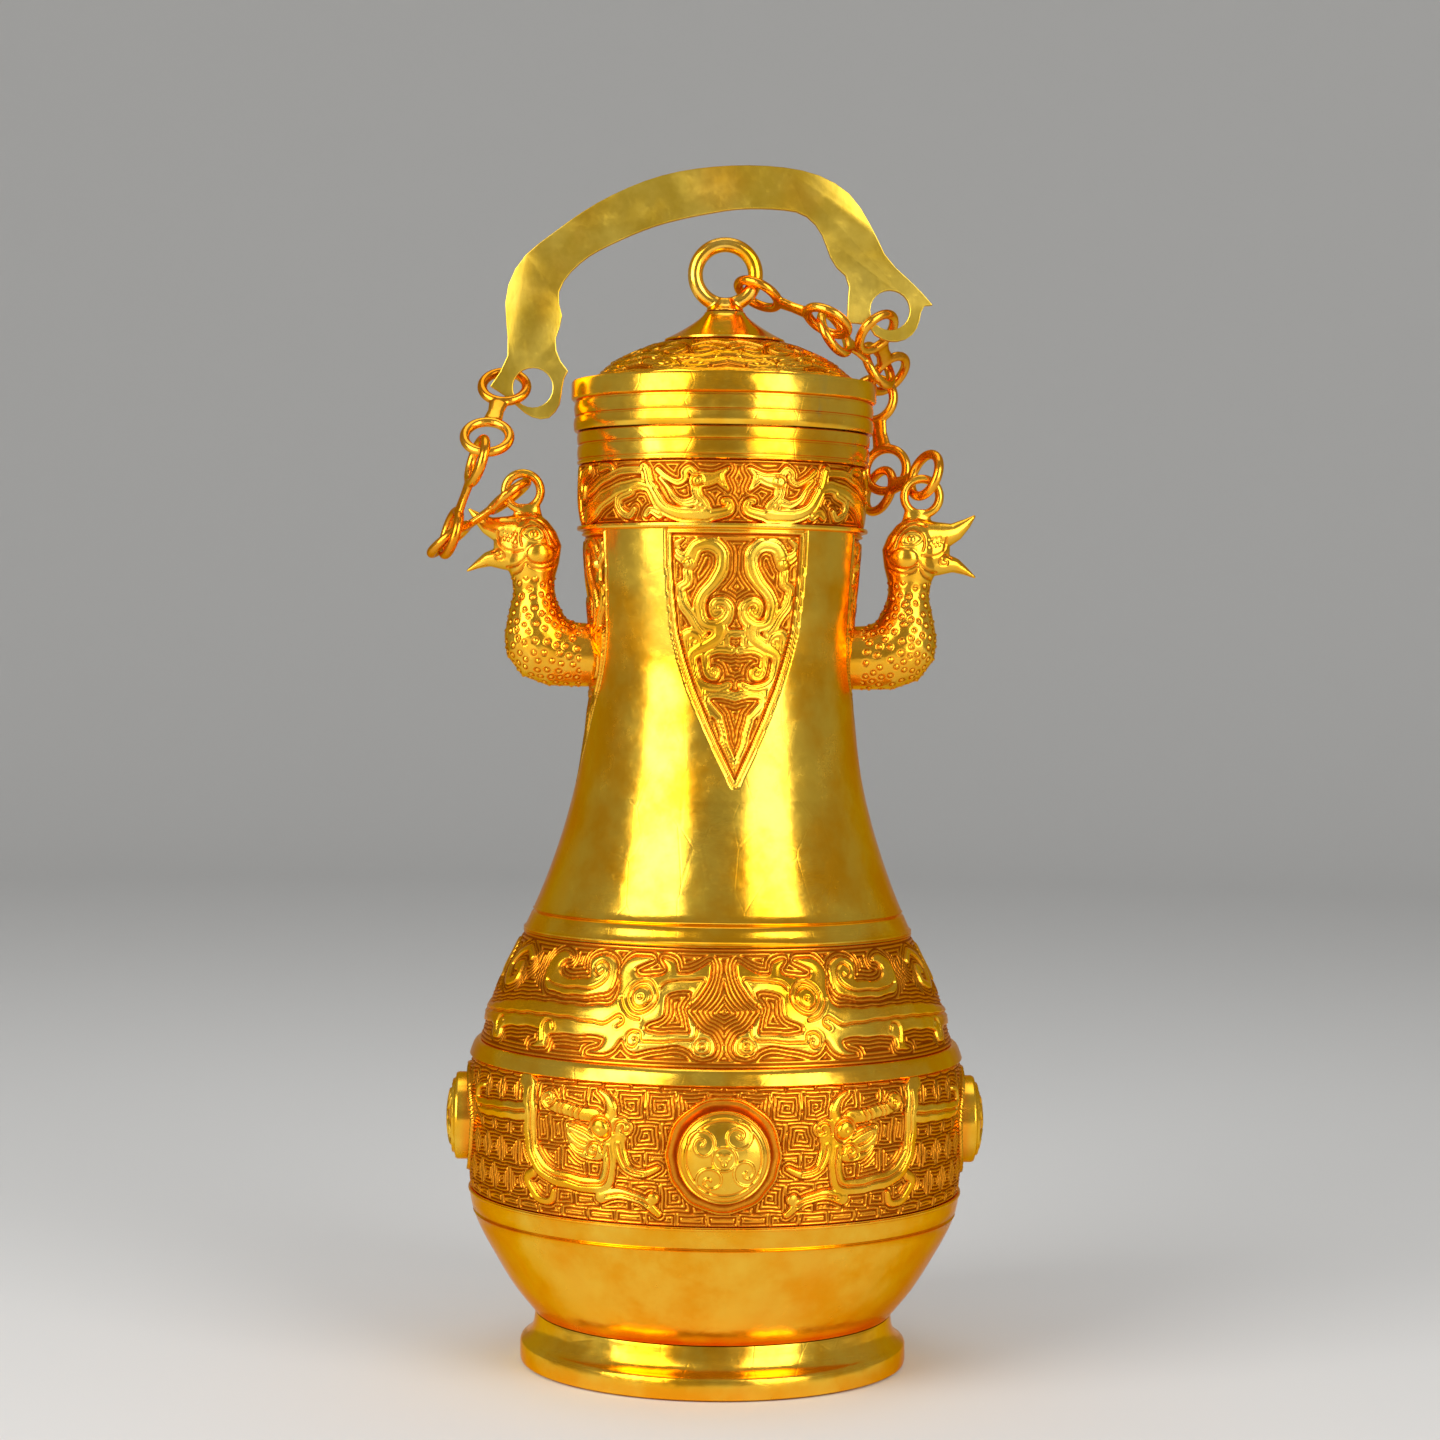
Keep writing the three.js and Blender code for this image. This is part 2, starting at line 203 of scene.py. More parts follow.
class Paint:
    """The node tree of one material."""

    def __init__(self, name):
        self.material = bpy.data.materials.new(name)
        self.material.use_nodes = True
        self.tree = self.material.node_tree
        self.tree.nodes.clear()

    def add(self, kind, settings=None, sockets=None, output=0):
        node = self.tree.nodes.new(kind)
        for key, value in (settings or {}).items():
            setattr(node, key, value)
        for key, value in (sockets or {}).items():
            if isinstance(value, Value):
                self.tree.links.new(value.socket, node.inputs[key])
            else:
                node.inputs[key].default_value = value
        return Value(self, node.outputs[output]) if len(node.outputs) else node

    def mix(self, share, first, second):
        """Colour mix."""
        return self.add("ShaderNodeMix", {"data_type": "RGBA", "clamp_factor": True},
                        {0: share, 6: first, 7: second}, 2)

    def noise(self, where, scale, detail=4.0, roughness=0.55, stretch=None):
        if stretch:
            where = self.add("ShaderNodeMapping", {}, {"Vector": where, "Scale": stretch})
        return self.add("ShaderNodeTexNoise", {},
                        {"Vector": where, "Scale": scale, "Detail": detail, "Roughness": roughness})


HIGH_GOLD = (1.0, 0.62, 0.06, 1)
LOW_GOLD = (0.95, 0.43, 0.012, 1)
RIDGE = (1.0, 0.37, 0.02, 1)
# Recess colour: the deep orange-red of the gilding, darkened as painted shade.
RECESS_GILT_AND_SHADE = (0.36, 0.07, 0.002, 1)
RUDDY = (1.0, 0.36, 0.01, 1)
STAIN = (0.46, 0.40, 0.16, 1)


def gilding(name, high=HIGH_GOLD, low=LOW_GOLD, recess=RECESS_GILT_AND_SHADE, relief=False, rough=0.2, stains=0.0,
            scratch=0.5, brushed=(1.0, 1.0, 1.0), ruddy=0.45, dent=0.4):
    """Gold with a polished and a dull tone. relief reads the piece's own 'relief' attribute, 0 in the
    deepest ground and 1 on the high places."""
    paint = Paint(name)
    where = paint.add("ShaderNodeTexCoord", {}, {}, "Object")
    clouds = paint.noise(where, 42, 5, 0.6)
    specks = paint.noise(where, 900, 3, 0.6)
    tone = paint.mix(clouds.between(0.36, 0.66), low, high)
    tone = paint.mix(paint.noise(where, 17, 4, 0.6, (1, 1, 0.6)).between(0.5, 0.72) * ruddy, tone, RUDDY)
    dull = paint.noise(where, 95, 4, 0.65).between(0.45, 0.75)
    roughness = rough + dull * 0.10 + specks.between(0.5, 0.8) * 0.07
    if stains:
        height = paint.add("ShaderNodeSeparateXYZ", {}, {"Vector": where}, "Z")
        patch = paint.noise(where, 26, 5, 0.7, (1, 1, 0.35)).between(0.58, 0.70)
        patch = patch * height.between(0.15, 0.2) * stains
        tone = paint.mix(patch, tone, STAIN)
        roughness = roughness + patch * 0.18
    grain = paint.noise(where, 260, 2, 0.5, brushed)
    slanted = paint.add("ShaderNodeMapping", {},
                        {"Vector": where, "Rotation": (0.4, 0.9, 0.2), "Scale": (1, 0.12, 0.5)})
    lines = paint.add("ShaderNodeTexVoronoi", {"feature": "DISTANCE_TO_EDGE"},
                      {"Vector": slanted, "Scale": 130.0})
    scores = 1 - lines.between(0.0, 0.035)
    height = grain * 0.5 + specks * 0.25 - scores * (0.25 * scratch)
    if relief:
        level = paint.add("ShaderNodeAttribute", {"attribute_name": "relief"}, {}, "Fac")
        # Low places take the recess colour, partly the gilding's orange-red and partly painted shade; high
        # places keep the polished gold.
        wear_and_shade = (level + specks * 0.12 - 0.06).between(0.1, 0.5)
        tone = paint.mix(wear_and_shade, recess, paint.mix(level.between(0.6, 0.95), RIDGE, tone))
        roughness = roughness + (1 - wear_and_shade) * 0.22
    dents = paint.add("ShaderNodeBump", {},
                      {"Strength": dent, "Distance": 0.0014, "Height": paint.noise(where, 48, 2.5)})
    bump = paint.add("ShaderNodeBump", {},
                     {"Strength": 0.28, "Distance": 0.00012, "Height": height, "Normal": dents})
    shader = paint.add("ShaderNodeBsdfPrincipled", {},
                       {"Base Color": tone, "Metallic": 1.0, "Roughness": roughness, "Normal": bump,
                        "Specular Tint": (1.0, 0.62, 0.3, 1)})
    paint.add("ShaderNodeOutputMaterial", {}, {"Surface": shader})
    return paint.material


polished_gilt = gilding("polished gilt", stains=0.75, rough=0.17, scratch=1.0, brushed=(1, 1, 3))
relief_gilt = gilding("relief gilt", relief=True, rough=0.2)
gild(vessel_wall, polished_gilt)


# Low band
# Four bosses sit in a belt of angular dragons that face away from each boss, in pairs.
# The ground behind them is filled with fine square spirals, cut into the casting model.
def smooth_line(points, pieces=7):
    """A curve through given points."""
    if len(points) < 3:
        return np.array(points, float)
    p = np.array([points[0], *points, points[-1]], float)
    t = np.linspace(0, 1, pieces, endpoint=False)[:, None]
    runs = [0.5 * (2 * b + (c - a) * t + (2 * a - 5 * b + 4 * c - d) * t**2 + (3 * b - a - 3 * c + d) * t**3)
            for a, b, c, d in zip(p, p[1:], p[2:], p[3:])]
    return np.vstack([*runs, p[-1:]])


def depth_inside(u, v, strokes):
    """How deep each point lies inside the strokes, in mm, and below zero how far outside. A stroke is a line
    and its half width, or its half widths at the two ends."""
    field = np.full(u.shape, -60.0)
    for points, width in strokes:
        start, end = width if isinstance(width, tuple) else (width, width)
        line = smooth_line(points)
        if len(line) == 1:
            field = np.maximum(field, start - np.hypot(u - line[0][0], v - line[0][1]))
            continue
        halves = np.linspace(start, end, len(line))
        for (ax, ay), (bx, by), half in zip(line, line[1:], halves):
            run = max((bx - ax) ** 2 + (by - ay) ** 2, 1e-9)
            t = np.clip(((u - ax) * (bx - ax) + (v - ay) * (by - ay)) / run, 0, 1)
            field = np.maximum(field, half - np.hypot(u - ax - t * (bx - ax), v - ay - t * (by - ay)))
    return field


def soft_step(x, low, high):
    t = np.clip((x - low) / (high - low), 0, 1)
    return t * t * (3 - 2 * t)


def domes(u, v, centres, radius, height):
    """Round bosses such as eyes, with a groove round each and a small dimple."""
    out = np.zeros(u.shape)
    for x, y in centres:
        d = np.hypot(u - x, v - y) / radius
        out += height * np.sqrt(np.clip(1 - d**2, 0, 1)) - 0.35 * np.exp(-((d - 1.12) / 0.12) ** 2)
        out -= 0.3 * np.exp(-((d / 0.22) ** 2))
    return out


def depth_outline(u, v, outline):
    """How deep each point lies inside a closed outline, in mm, and below zero how far outside."""
    line = smooth_line([*outline, outline[0]], 3)
    away = np.full(u.shape, 60.0)
    inside = np.zeros(u.shape, bool)
    for (ax, ay), (bx, by) in zip(line, line[1:]):
        run = max((bx - ax) ** 2 + (by - ay) ** 2, 1e-9)
        t = np.clip(((u - ax) * (bx - ax) + (v - ay) * (by - ay)) / run, 0, 1)
        away = np.minimum(away, np.hypot(u - ax - t * (bx - ax), v - ay - t * (by - ay)))
        if ay != by:
            inside ^= ((ay > v) != (by > v)) & (u < (bx - ax) * (v - ay) / (by - ay) + ax)
    return np.where(inside, away, -away)


def ring_cuts(u, v, centre, *rings):
    """Round grooves about an eye, as depth inside the cut line. Each is a radius and a half width."""
    d = np.hypot(u - centre[0], v - centre[1])
    return np.maximum.reduce([half - np.abs(d - radius) for radius, half in rings])


def hand_drawn(u, v):
    """Small wavering of the lines, as from a hand-cut model."""
    return u + 0.14 * np.sin(0.9 * v + 0.35 * u), v + 0.12 * np.sin(0.8 * u + 1.0)


FULL_RELIEF = 1.1


def cast_relief(field, edge, cuts=None, cells=None, body=1.05, pitch=1.2, line=0.6):
    """Height of a decorated surface over its sunk ground, in mm. field is the depth inside the motifs, cuts
    the depth inside their incised lines and edge the distance to the zone's border. The ground carries fine
    ridges that follow whatever is nearest. cells gives square spirals where the ground is wide."""
    outside = np.minimum(-field, edge)
    phase = np.zeros(field.shape)
    if cells:
        u, v, size_u, size_v, shift = cells
        row = np.floor(v / size_v)
        cu = (u + shift * row * size_u) / size_u
        du = (cu - np.floor(cu) - 0.5) * size_u
        dv = (v / size_v - row - 0.5) * size_v
        lattice = np.minimum(size_u / 2 - np.abs(du), size_v / 2 - np.abs(dv))
        inner = lattice < outside
        phase = np.where(inner, np.arctan2(dv, du) / (2 * math.pi) * pitch, 0)
        outside = np.where(inner, lattice, outside)
    ridges = 0.5 - 0.5 * np.cos(2 * math.pi * (outside + phase) / pitch)
    ground = line * ridges * soft_step(-field, 0.12, 0.45)
    raised = body * soft_step(field, -0.12, 0.38) + 0.16 * soft_step(field, 0.3, 1.6)
    if cuts is None:
        raised -= 0.42 * np.exp(-((field - 1.0) / 0.2) ** 2)
    else:
        raised -= 0.62 * soft_step(cuts, -0.26, 0.1) - 0.14 * np.exp(-((cuts + 0.55) / 0.25) ** 2)
    return np.where(field > -0.12, np.maximum(raised, ground), ground)


def relief_skin(name, zone, angles, spacing, height, base, repeats=1, radius=wall_radius):
    """Curved panels between two heights and two angles, raised by a height function of angle and height.
    The first is repeated round the axis."""
    low, high = zone
    across = max(2, round((angles[1] - angles[0]) * float(radius((low + high) / 2)) / spacing))
    up = max(2, round((high - low) / spacing))
    bm = spun([(1, 0, low + (high - low) * i / up) for i in range(up + 1)], across, 0, angles[1] - angles[0])
    bmesh.ops.rotate(bm, verts=bm.verts, cent=(0, 0, 0), matrix=Matrix.Rotation(angles[0], 3, "Z"))
    piece = finish_mesh(name, bm, "flask", ["vessel"], sharp=0)
    x, y, z = read_points(piece).T
    angle = np.arctan2(y, x)
    centre = (angles[0] + angles[1]) / 2
    angle = centre + (angle - centre + math.pi) % (2 * math.pi) - math.pi
    rise = height(angle, z)
    r = (radius(z) - base + rise) * MM
    write_points(piece, np.column_stack([r * np.cos(angle), r * np.sin(angle), z * MM]),
                 np.clip(rise / FULL_RELIEF, 0, 1))
    turn_outwards(piece)
    gild(piece, relief_gilt)
    for k in range(1, repeats):
        bm = bmesh.new()
        bm.from_mesh(piece.data)
        turn = Matrix.Rotation(2 * math.pi * k / repeats, 3, "Z")
        bmesh.ops.rotate(bm, verts=bm.verts, cent=(0, 0, 0), matrix=turn)
        gild(finish_mesh(f"{name}_{k + 1}", bm, "flask", ["vessel"], sharp=0), relief_gilt)


def turn_outwards(piece):
    """Faces of an open panel point away from the flask's axis."""
    bm = bmesh.new()
    bm.from_mesh(piece.data)
    bm.faces.ensure_lookup_table()
    face = bm.faces[len(bm.faces) // 2]
    centre = face.calc_center_median()
    if face.normal.x * centre.x + face.normal.y * centre.y < 0:
        bmesh.ops.reverse_faces(bm, faces=bm.faces)
        bm.to_mesh(piece.data)
    bm.free()


def folded(angle, units, start, radius):
    """Distance in mm along the belt from the nearest mirror line, for a pattern of mirrored pairs."""
    sector = 2 * math.pi / units
    return np.abs((angle - start + sector / 2) % sector - sector / 2) * radius


FRONT = -math.pi / 2
BELLY_RADIUS = 70.0
LOW_BAND_MIDDLE = 68.9
MOAT_RADIUS = 15.1
SQUARE_DRAGON = [
    ([(31.1, 2.0), (31.0, -2.7), (31.3, -6.7), (32.6, -9.3), (35.8, -10.0), (41.0, -9.6), (47.5, -9.0),
      (52.6, -7.3), (55.7, -4.0), (57.4, 0.0), (57.5, 5.4), (57.7, 9.7), (58.4, 14.4), (60.0, 16.2)],
     (2.0, 2.6)),
    ([(58.0, 7.6), (63.4, 7.2), (73.1, 6.6), (84.0, 6.0)], (2.7, 2.3)),
    ([(84.6, 6.6), (87.4, 8.0), (86.0, 11.0), (82.0, 12.0)], (1.3, 0.8)),
    ([(33.5, 5.6)], 3.7),
    ([(30.8, 8.6), (30.6, 11.2), (31.8, 13.9), (34.6, 15.4)], (1.9, 0.4)),
    ([(35.1, 8.6), (38.0, 8.8), (41.8, 9.2), (46.2, 9.9), (49.0, 10.3)], (2.0, 1.6)),
    ([(50.4, 11.7)], 2.5),
    ([(30.2, 4.6), (28.8, 6.6), (26.9, 6.1)], (1.8, 2.5)),
    ([(28.2, 3.2), (28.0, -1.0), (25.8, -4.5), (21.4, -5.9), (17.4, -4.0)], (2.1, 0.7)),
    ([(33.4, -12.6), (30.4, -11.7), (26.6, -11.6), (22.6, -12.4), (19.7, -14.3), (17.2, -16.2)], (1.9, 1.0)),
    ([(18.8, -12.4)], 1.7),
    ([(56.5, -8.6), (58.2, -9.8), (58.1, -11.6), (56.5, -13.6), (54.3, -15.3), (51.4, -15.9), (49.3, -14.8),
      (48.6, -12.6)], (1.5, 0.9)),
]
SQUARE_DRAGON_JAWS = [(34.4, 2.4), (36.6, 4.8), (39.4, 6.2), (44.4, 6.0), (44.3, 3.2), (43.2, 0.0),
                      (40.4, -2.3), (36.6, -3.4), (33.4, -3.0), (32.4, -0.8), (33.0, 1.2)]
SQUARE_DRAGON_CUTS = [
    ([(31.4, 0.6), (31.2, -5.7), (32.6, -8.8), (36.5, -9.8), (43.0, -9.2), (49.1, -8.3), (53.1, -6.7),
      (55.7, -3.3), (57.0, 1.2), (57.2, 7.3), (57.4, 13.9)], 0.3),
    ([(59.6, 7.6), (66.9, 7.1), (77.1, 6.5), (85.0, 6.0)], 0.3),
    ([(39.3, 10.6), (40.5, 8.8), (40.3, 7.1)], 0.2),
    ([(41.0, 10.7), (42.2, 9.0), (42.0, 7.4)], 0.2),
    ([(44.9, 11.2), (45.9, 9.6), (45.5, 8.3)], 0.2),
    ([(46.4, 11.4), (47.3, 9.9), (46.9, 8.5)], 0.2),
    ([(48.4, 13.0), (48.8, 11.0), (50.4, 10.0), (51.9, 11.2), (51.0, 12.6), (49.9, 12.0), (50.5, 11.3)],
     0.22),
    ([(33.0, -0.6), (34.0, 1.2), (36.2, 1.4), (37.6, -0.2), (37.0, -1.9), (35.4, -2.1), (34.8, -0.7),
      (35.9, -0.2)], 0.24),
    ([(36.0, 2.8), (38.4, 4.4), (41.5, 5.3), (43.6, 5.5)], 0.22),
    ([(38.1, 1.1), (40.7, 2.1), (42.9, 3.6)], 0.22),
    ([(38.6, -0.9), (40.8, -0.5), (42.6, 0.7)], 0.22),
    ([(29.8, 4.6), (29.0, 7.0), (26.9, 7.8), (25.3, 6.5), (26.0, 4.9), (27.6, 5.3), (27.1, 6.5)], 0.24),
    ([(28.2, 1.2), (27.7, -1.9), (25.4, -4.7), (21.4, -5.9)], 0.24),
    ([(31.6, -12.2), (26.6, -11.7), (22.4, -12.6), (19.9, -14.2)], 0.22),
]


def low_band_height(angle, z):
    u, v = hand_drawn(folded(angle, 2, FRONT, BELLY_RADIUS), z - LOW_BAND_MIDDLE)
    field = np.maximum(depth_inside(u, v, SQUARE_DRAGON), depth_outline(u, v, SQUARE_DRAGON_JAWS))
    cuts = np.maximum(depth_inside(u, v, SQUARE_DRAGON_CUTS), ring_cuts(u, v, (33.5, 5.6), (2.95, 0.3)))
    edge = np.minimum(z - LOW_BAND[0], LOW_BAND[1] - z)
    rise = cast_relief(field, edge, cuts, cells=(u, v, 8.4, 8.0, 0.5), pitch=1.02)
    rise += domes(u, v, [(33.5, 5.6)], 2.2, 0.9)
    for centre in (0.0, BELLY_RADIUS * math.pi / 2):
        boss = np.hypot(u - centre, v + 0.4)
        moat = 0.38 * soft_step(boss, 12.3, 13.8) + 1.0 * np.exp(-((boss - MOAT_RADIUS) / 0.26) ** 2)
        beyond = rise * soft_step(boss, MOAT_RADIUS + 0.4, MOAT_RADIUS + 0.9)
        rise = np.where(boss < MOAT_RADIUS + 0.4, moat, beyond)
    return rise


for name, middle in (("low_band_front", FRONT), ("low_band_side", 0.0)):
    relief_skin(name, LOW_BAND, (middle - math.pi / 4, middle + math.pi / 4), 0.28, low_band_height, 0.95, 2)


# High band
# A narrower belt on the shoulder: dragons with hooked beaks and ringed eyes meet in pairs.
# Their bodies run back as two long bars, and lozenges of fine lines fill the gap between the heads.
SHOULDER_RADIUS = 62.5
HIGH_BAND_MIDDLE = 107.3
BEAK_EYE = (22.7, 1.6)
BEAKED_DRAGON = [
    (99.0, -6.4), (91.4, -5.9), (67.5, -2.5), (54.0, -1.8), (42.7, -1.8), (34.4, -1.4), (30.8, -0.4),
    (29.8, 2.4), (30.4, 5.6), (30.6, 8.0), (29.6, 10.2), (27.1, 11.6), (22.7, 11.7), (21.0, 10.8),
    (23.7, 9.8), (25.9, 8.6), (25.9, 7.4), (24.1, 6.6), (19.7, 6.8), (17.4, 7.6), (16.9, 9.0), (18.5, 11.1),
    (17.1, 11.6), (14.8, 10.7), (13.9, 8.9), (12.9, 7.6), (10.2, 7.8), (6.8, 9.2), (3.6, 10.6), (3.7, 7.9),
    (4.5, 4.7), (6.9, 1.4), (10.1, -1.5), (8.3, -3.8), (6.6, -6.1), (5.2, -7.4), (3.2, -8.2), (1.9, -10.5),
    (2.9, -13.0), (5.3, -13.8), (7.4, -13.0), (8.4, -11.8), (11.8, -10.9), (17.4, -11.5), (21.4, -12.7),
    (23.6, -12.9), (25.3, -11.8), (26.7, -9.8), (27.5, -10.3), (28.7, -12.5), (31.0, -13.6), (36.2, -13.8),
    (33.3, -12.6), (32.2, -11.1), (32.7, -9.4), (41.0, -9.6), (49.2, -10.0), (50.1, -12.1), (50.3, -13.6),
    (52.7, -14.0), (56.5, -13.6), (54.0, -12.6), (54.0, -10.8), (55.4, -9.0), (70.9, -10.2), (72.3, -12.2),
    (73.2, -13.8), (77.0, -14.0), (78.7, -12.1), (79.4, -10.6), (88.0, -10.8), (99.0, -11.2)]
BEAKED_DRAGON_MOUTH = [(14.9, 2.6), (9.8, 3.3), (8.8, 2.0), (10.6, -1.0), (9.6, -3.8), (8.9, -6.8),
                       (10.5, -7.5), (17.8, -7.7), (20.7, -7.2), (20.5, -5.6), (16.6, -3.6), (15.7, -1.2),
                       (16.0, 1.6)]
SHOULDER_SCROLL = [(57.6, 10.1), (58.8, 8.1), (58.7, 5.6), (57.2, 2.8), (54.6, 1.1), (49.3, 0.6), (43.7, 0.5),
                   (37.6, 1.1), (33.2, 2.2), (31.9, 5.1), (32.0, 7.9), (33.7, 10.4), (37.1, 11.5),
                   (39.8, 11.3), (41.7, 10.0), (41.4, 7.9), (40.6, 5.5), (43.1, 5.1), (47.2, 4.8),
                   (50.7, 5.1), (52.7, 6.4), (53.4, 8.0), (52.1, 9.1), (50.0, 9.7), (51.4, 10.9),
                   (54.8, 11.6)]
SHOULDER_CURL = [([(70.0, 8.6), (74.6, 10.6), (80.6, 9.4), (84.8, 5.4), (80.6, 1.6), (74.6, 2.6), (75.2, 5.6),
                   (78.2, 5.8)], (1.0, 1.5)),
                 ([(94.0, 10.4), (93.0, 6.0), (90.4, 2.4)], (1.6, 1.1))]
HIGH_BAND_CUTS = [
    ([(99.0, -8.2), (87.4, -7.4), (61.1, -5.5), (45.9, -5.2), (37.1, -5.6), (32.5, -5.7), (29.7, -4.2),
      (28.5, -3.6), (27.2, -4.1), (26.8, -5.3), (28.3, -6.5)], 0.3),
    ([(28.4, 0.6), (27.6, -1.5), (25.6, -3.2), (22.4, -4.2)], 0.28),
    ([(17.7, 4.1), (16.2, 5.5), (13.1, 5.9), (6.1, 6.4), (6.6, 4.2), (9.2, 0.0)], 0.3),
    ([(7.0, -6.1), (7.9, -8.7), (11.9, -9.4), (17.6, -9.8), (21.2, -9.9), (22.0, -7.8), (24.1, -7.2),
      (25.6, -8.7), (25.0, -10.8), (23.2, -11.2), (22.4, -10.0), (23.2, -9.1)], 0.26),
    ([(48.5, -8.1), (49.3, -6.5), (51.6, -6.7), (52.4, -8.7), (51.7, -11.8)], 0.26),
    ([(71.5, -8.6), (72.4, -7.6), (74.6, -8.0), (75.4, -9.6), (74.7, -12.0)], 0.26),
    ([(55.9, 3.9), (52.5, 2.6), (45.9, 2.5), (39.4, 2.8), (36.1, 3.9), (34.4, 5.9), (35.0, 8.2), (37.5, 9.8),
      (39.5, 8.9), (39.5, 7.3), (37.7, 6.2), (36.6, 7.0)], 0.26),
]


def high_band_height(angle, z):
    u, v = hand_drawn(folded(angle, 2, FRONT, SHOULDER_RADIUS), z - HIGH_BAND_MIDDLE)
    field = np.minimum(depth_outline(u, v, BEAKED_DRAGON), -depth_outline(u, v, BEAKED_DRAGON_MOUTH))
    field = np.maximum.reduce([field, depth_outline(u, v, SHOULDER_SCROLL),
                               depth_inside(u, v, SHOULDER_CURL)])
    cuts = np.maximum.reduce([depth_inside(u, v, HIGH_BAND_CUTS),
                              ring_cuts(u, v, BEAK_EYE, (4.1, 0.32), (2.75, 0.2), (0.0, 0.5)),
                              ring_cuts(u, v, (5.5, -10.8), (2.0, 0.22), (0.8, 0.2))])
    edge = np.minimum(z - HIGH_BAND[0], HIGH_BAND[1] - z)
    d = np.hypot(u - BEAK_EYE[0], v - BEAK_EYE[1]) / 2.5
    eye = 0.75 * np.sqrt(np.clip(1 - d**2, 0, 1)) * (field > 0)
    return cast_relief(field, edge, cuts, pitch=1.05, line=0.55) + eye


relief_skin("high_band", HIGH_BAND, (FRONT - math.pi / 2, FRONT + math.pi / 2), 0.3, high_band_height,
            0.95, 2)


# Neck with hanging blades
# Four tall blades hang round the neck, at the front and back and behind each bird head.
# Inside each blade two dragons curl face to face, over a mask and a nest of fine pointed lines.
BLADE_EDGE = [(19.8, 233.1), (19.6, 225.2), (18.8, 216.2), (17.5, 205.8), (15.3, 198.1), (12.6, 190.4),
              (9.0, 182.0), (4.8, 173.0), (0.0, 163.4)]
CURLED_DRAGON = [
    ([(13.0, -8.0), (11.3, -5.0), (7.6, -4.0), (4.6, -6.3), (4.1, -10.6), (6.3, -14.4), (9.2, -17.7),
      (10.3, -21.6), (9.1, -25.1), (5.9, -26.4), (2.9, -24.9), (1.8, -22.1), (3.3, -20.0), (5.5, -19.9),
      (6.6, -21.4), (5.8, -23.2), (4.7, -22.6)], (2.3, 1.3)),
    ([(13.5, -9.6)], 2.2),
    ([(14.8, -8.0), (17.0, -6.4), (17.3, -4.2), (15.4, -2.8)], (1.8, 0.5)),
    ([(14.0, -11.6), (13.6, -14.6), (15.8, -16.2), (15.2, -19.7), (13.2, -22.9), (10.9, -26.2), (9.4, -27.9)],
     (1.5, 1.7)),
    ([(13.4, -22.5), (14.8, -20.9), (15.5, -18.4)], (1.6, 0.6)),
    ([(14.0, -33.2), (14.2, -30.0), (12.8, -28.6), (10.6, -29.1), (9.7, -30.9), (11.0, -32.1), (12.1, -31.1),
      (11.2, -30.3)], (2.2, 1.0)),
    ([(4.6, -27.0), (5.0, -29.8), (7.6, -31.4), (11.9, -34.0), (12.4, -37.5), (10.8, -41.2), (8.0, -43.1),
      (4.6, -43.6), (1.9, -42.4)], (2.6, 1.3)),
    ([(1.2, -32.8), (4.9, -32.8), (8.0, -34.1), (8.3, -36.8), (7.1, -39.7), (5.5, -40.3), (4.9, -38.9),
      (5.9, -38.1)], (1.5, 1.0)),
    ([(0.0, -28.4), (2.2, -28.5), (2.6, -31.6)], 1.3),
    ([(0.0, -45.4), (2.5, -44.9), (7.0, -45.0), (7.9, -46.7), (6.3, -49.4), (4.3, -51.4)], (1.5, 1.2)),
    ([(4.3, -51.4), (2.7, -58.0), (0.0, -65.2)], (1.2, 1.1)),
    ([(10.6, -41.6), (9.2, -44.5), (9.1, -47.8), (7.3, -51.0)], (1.9, 0.9)),
]
NECK_TURN = 0.075
BLADE_TOP = 233.3
DRAGON_TOP = 233.8
BLADE_EYE = (13.5, -9.6)


def blade_height(angle, z):
    """Relief of the nearest blade, and where it is. The border is a raised double line on both sides."""
    u = folded(angle, 4, FRONT + NECK_TURN, wall_radius(z))
    widths, heights = np.array(BLADE_EDGE[::-1]).T
    half = np.interp(z, heights, widths, left=-4.0)
    slope = np.interp(z, heights, np.gradient(widths, heights))
    edge = np.minimum((half - u) / np.sqrt(1 + slope**2), BLADE_TOP - z)
    border = 1.0 * soft_step(edge, -0.3, 0.1) * (1 - soft_step(edge, 0.75, 1.05))
    second = 0.75 * np.exp(-((edge - 1.75) / 0.26) ** 2)
    field = depth_inside(*hand_drawn(u, z - DRAGON_TOP), CURLED_DRAGON)
    rise = np.where(edge > 1.0, cast_relief(field, edge - 1.9, pitch=1.05, line=0.5), 0)
    rise += domes(u, z - DRAGON_TOP, [BLADE_EYE], 1.5, 0.7) * (edge > 1.0)
    return np.maximum(np.maximum(rise * soft_step(edge, 1.9, 2.2), border), second), edge


def neck_height(angle, z):
    plain = 1.22
    blade, edge = blade_height(angle, z)
    rise = np.where(edge > -0.3, blade + 0.22 * (edge < 0.9), plain)
    return np.where((edge > -0.75) & (edge <= -0.3), plain - 0.25, rise)


relief_skin("neck_blade", BLADE_ZONE, (FRONT - math.pi / 4, FRONT + math.pi / 4), 0.33, neck_height, 1.22, 4)


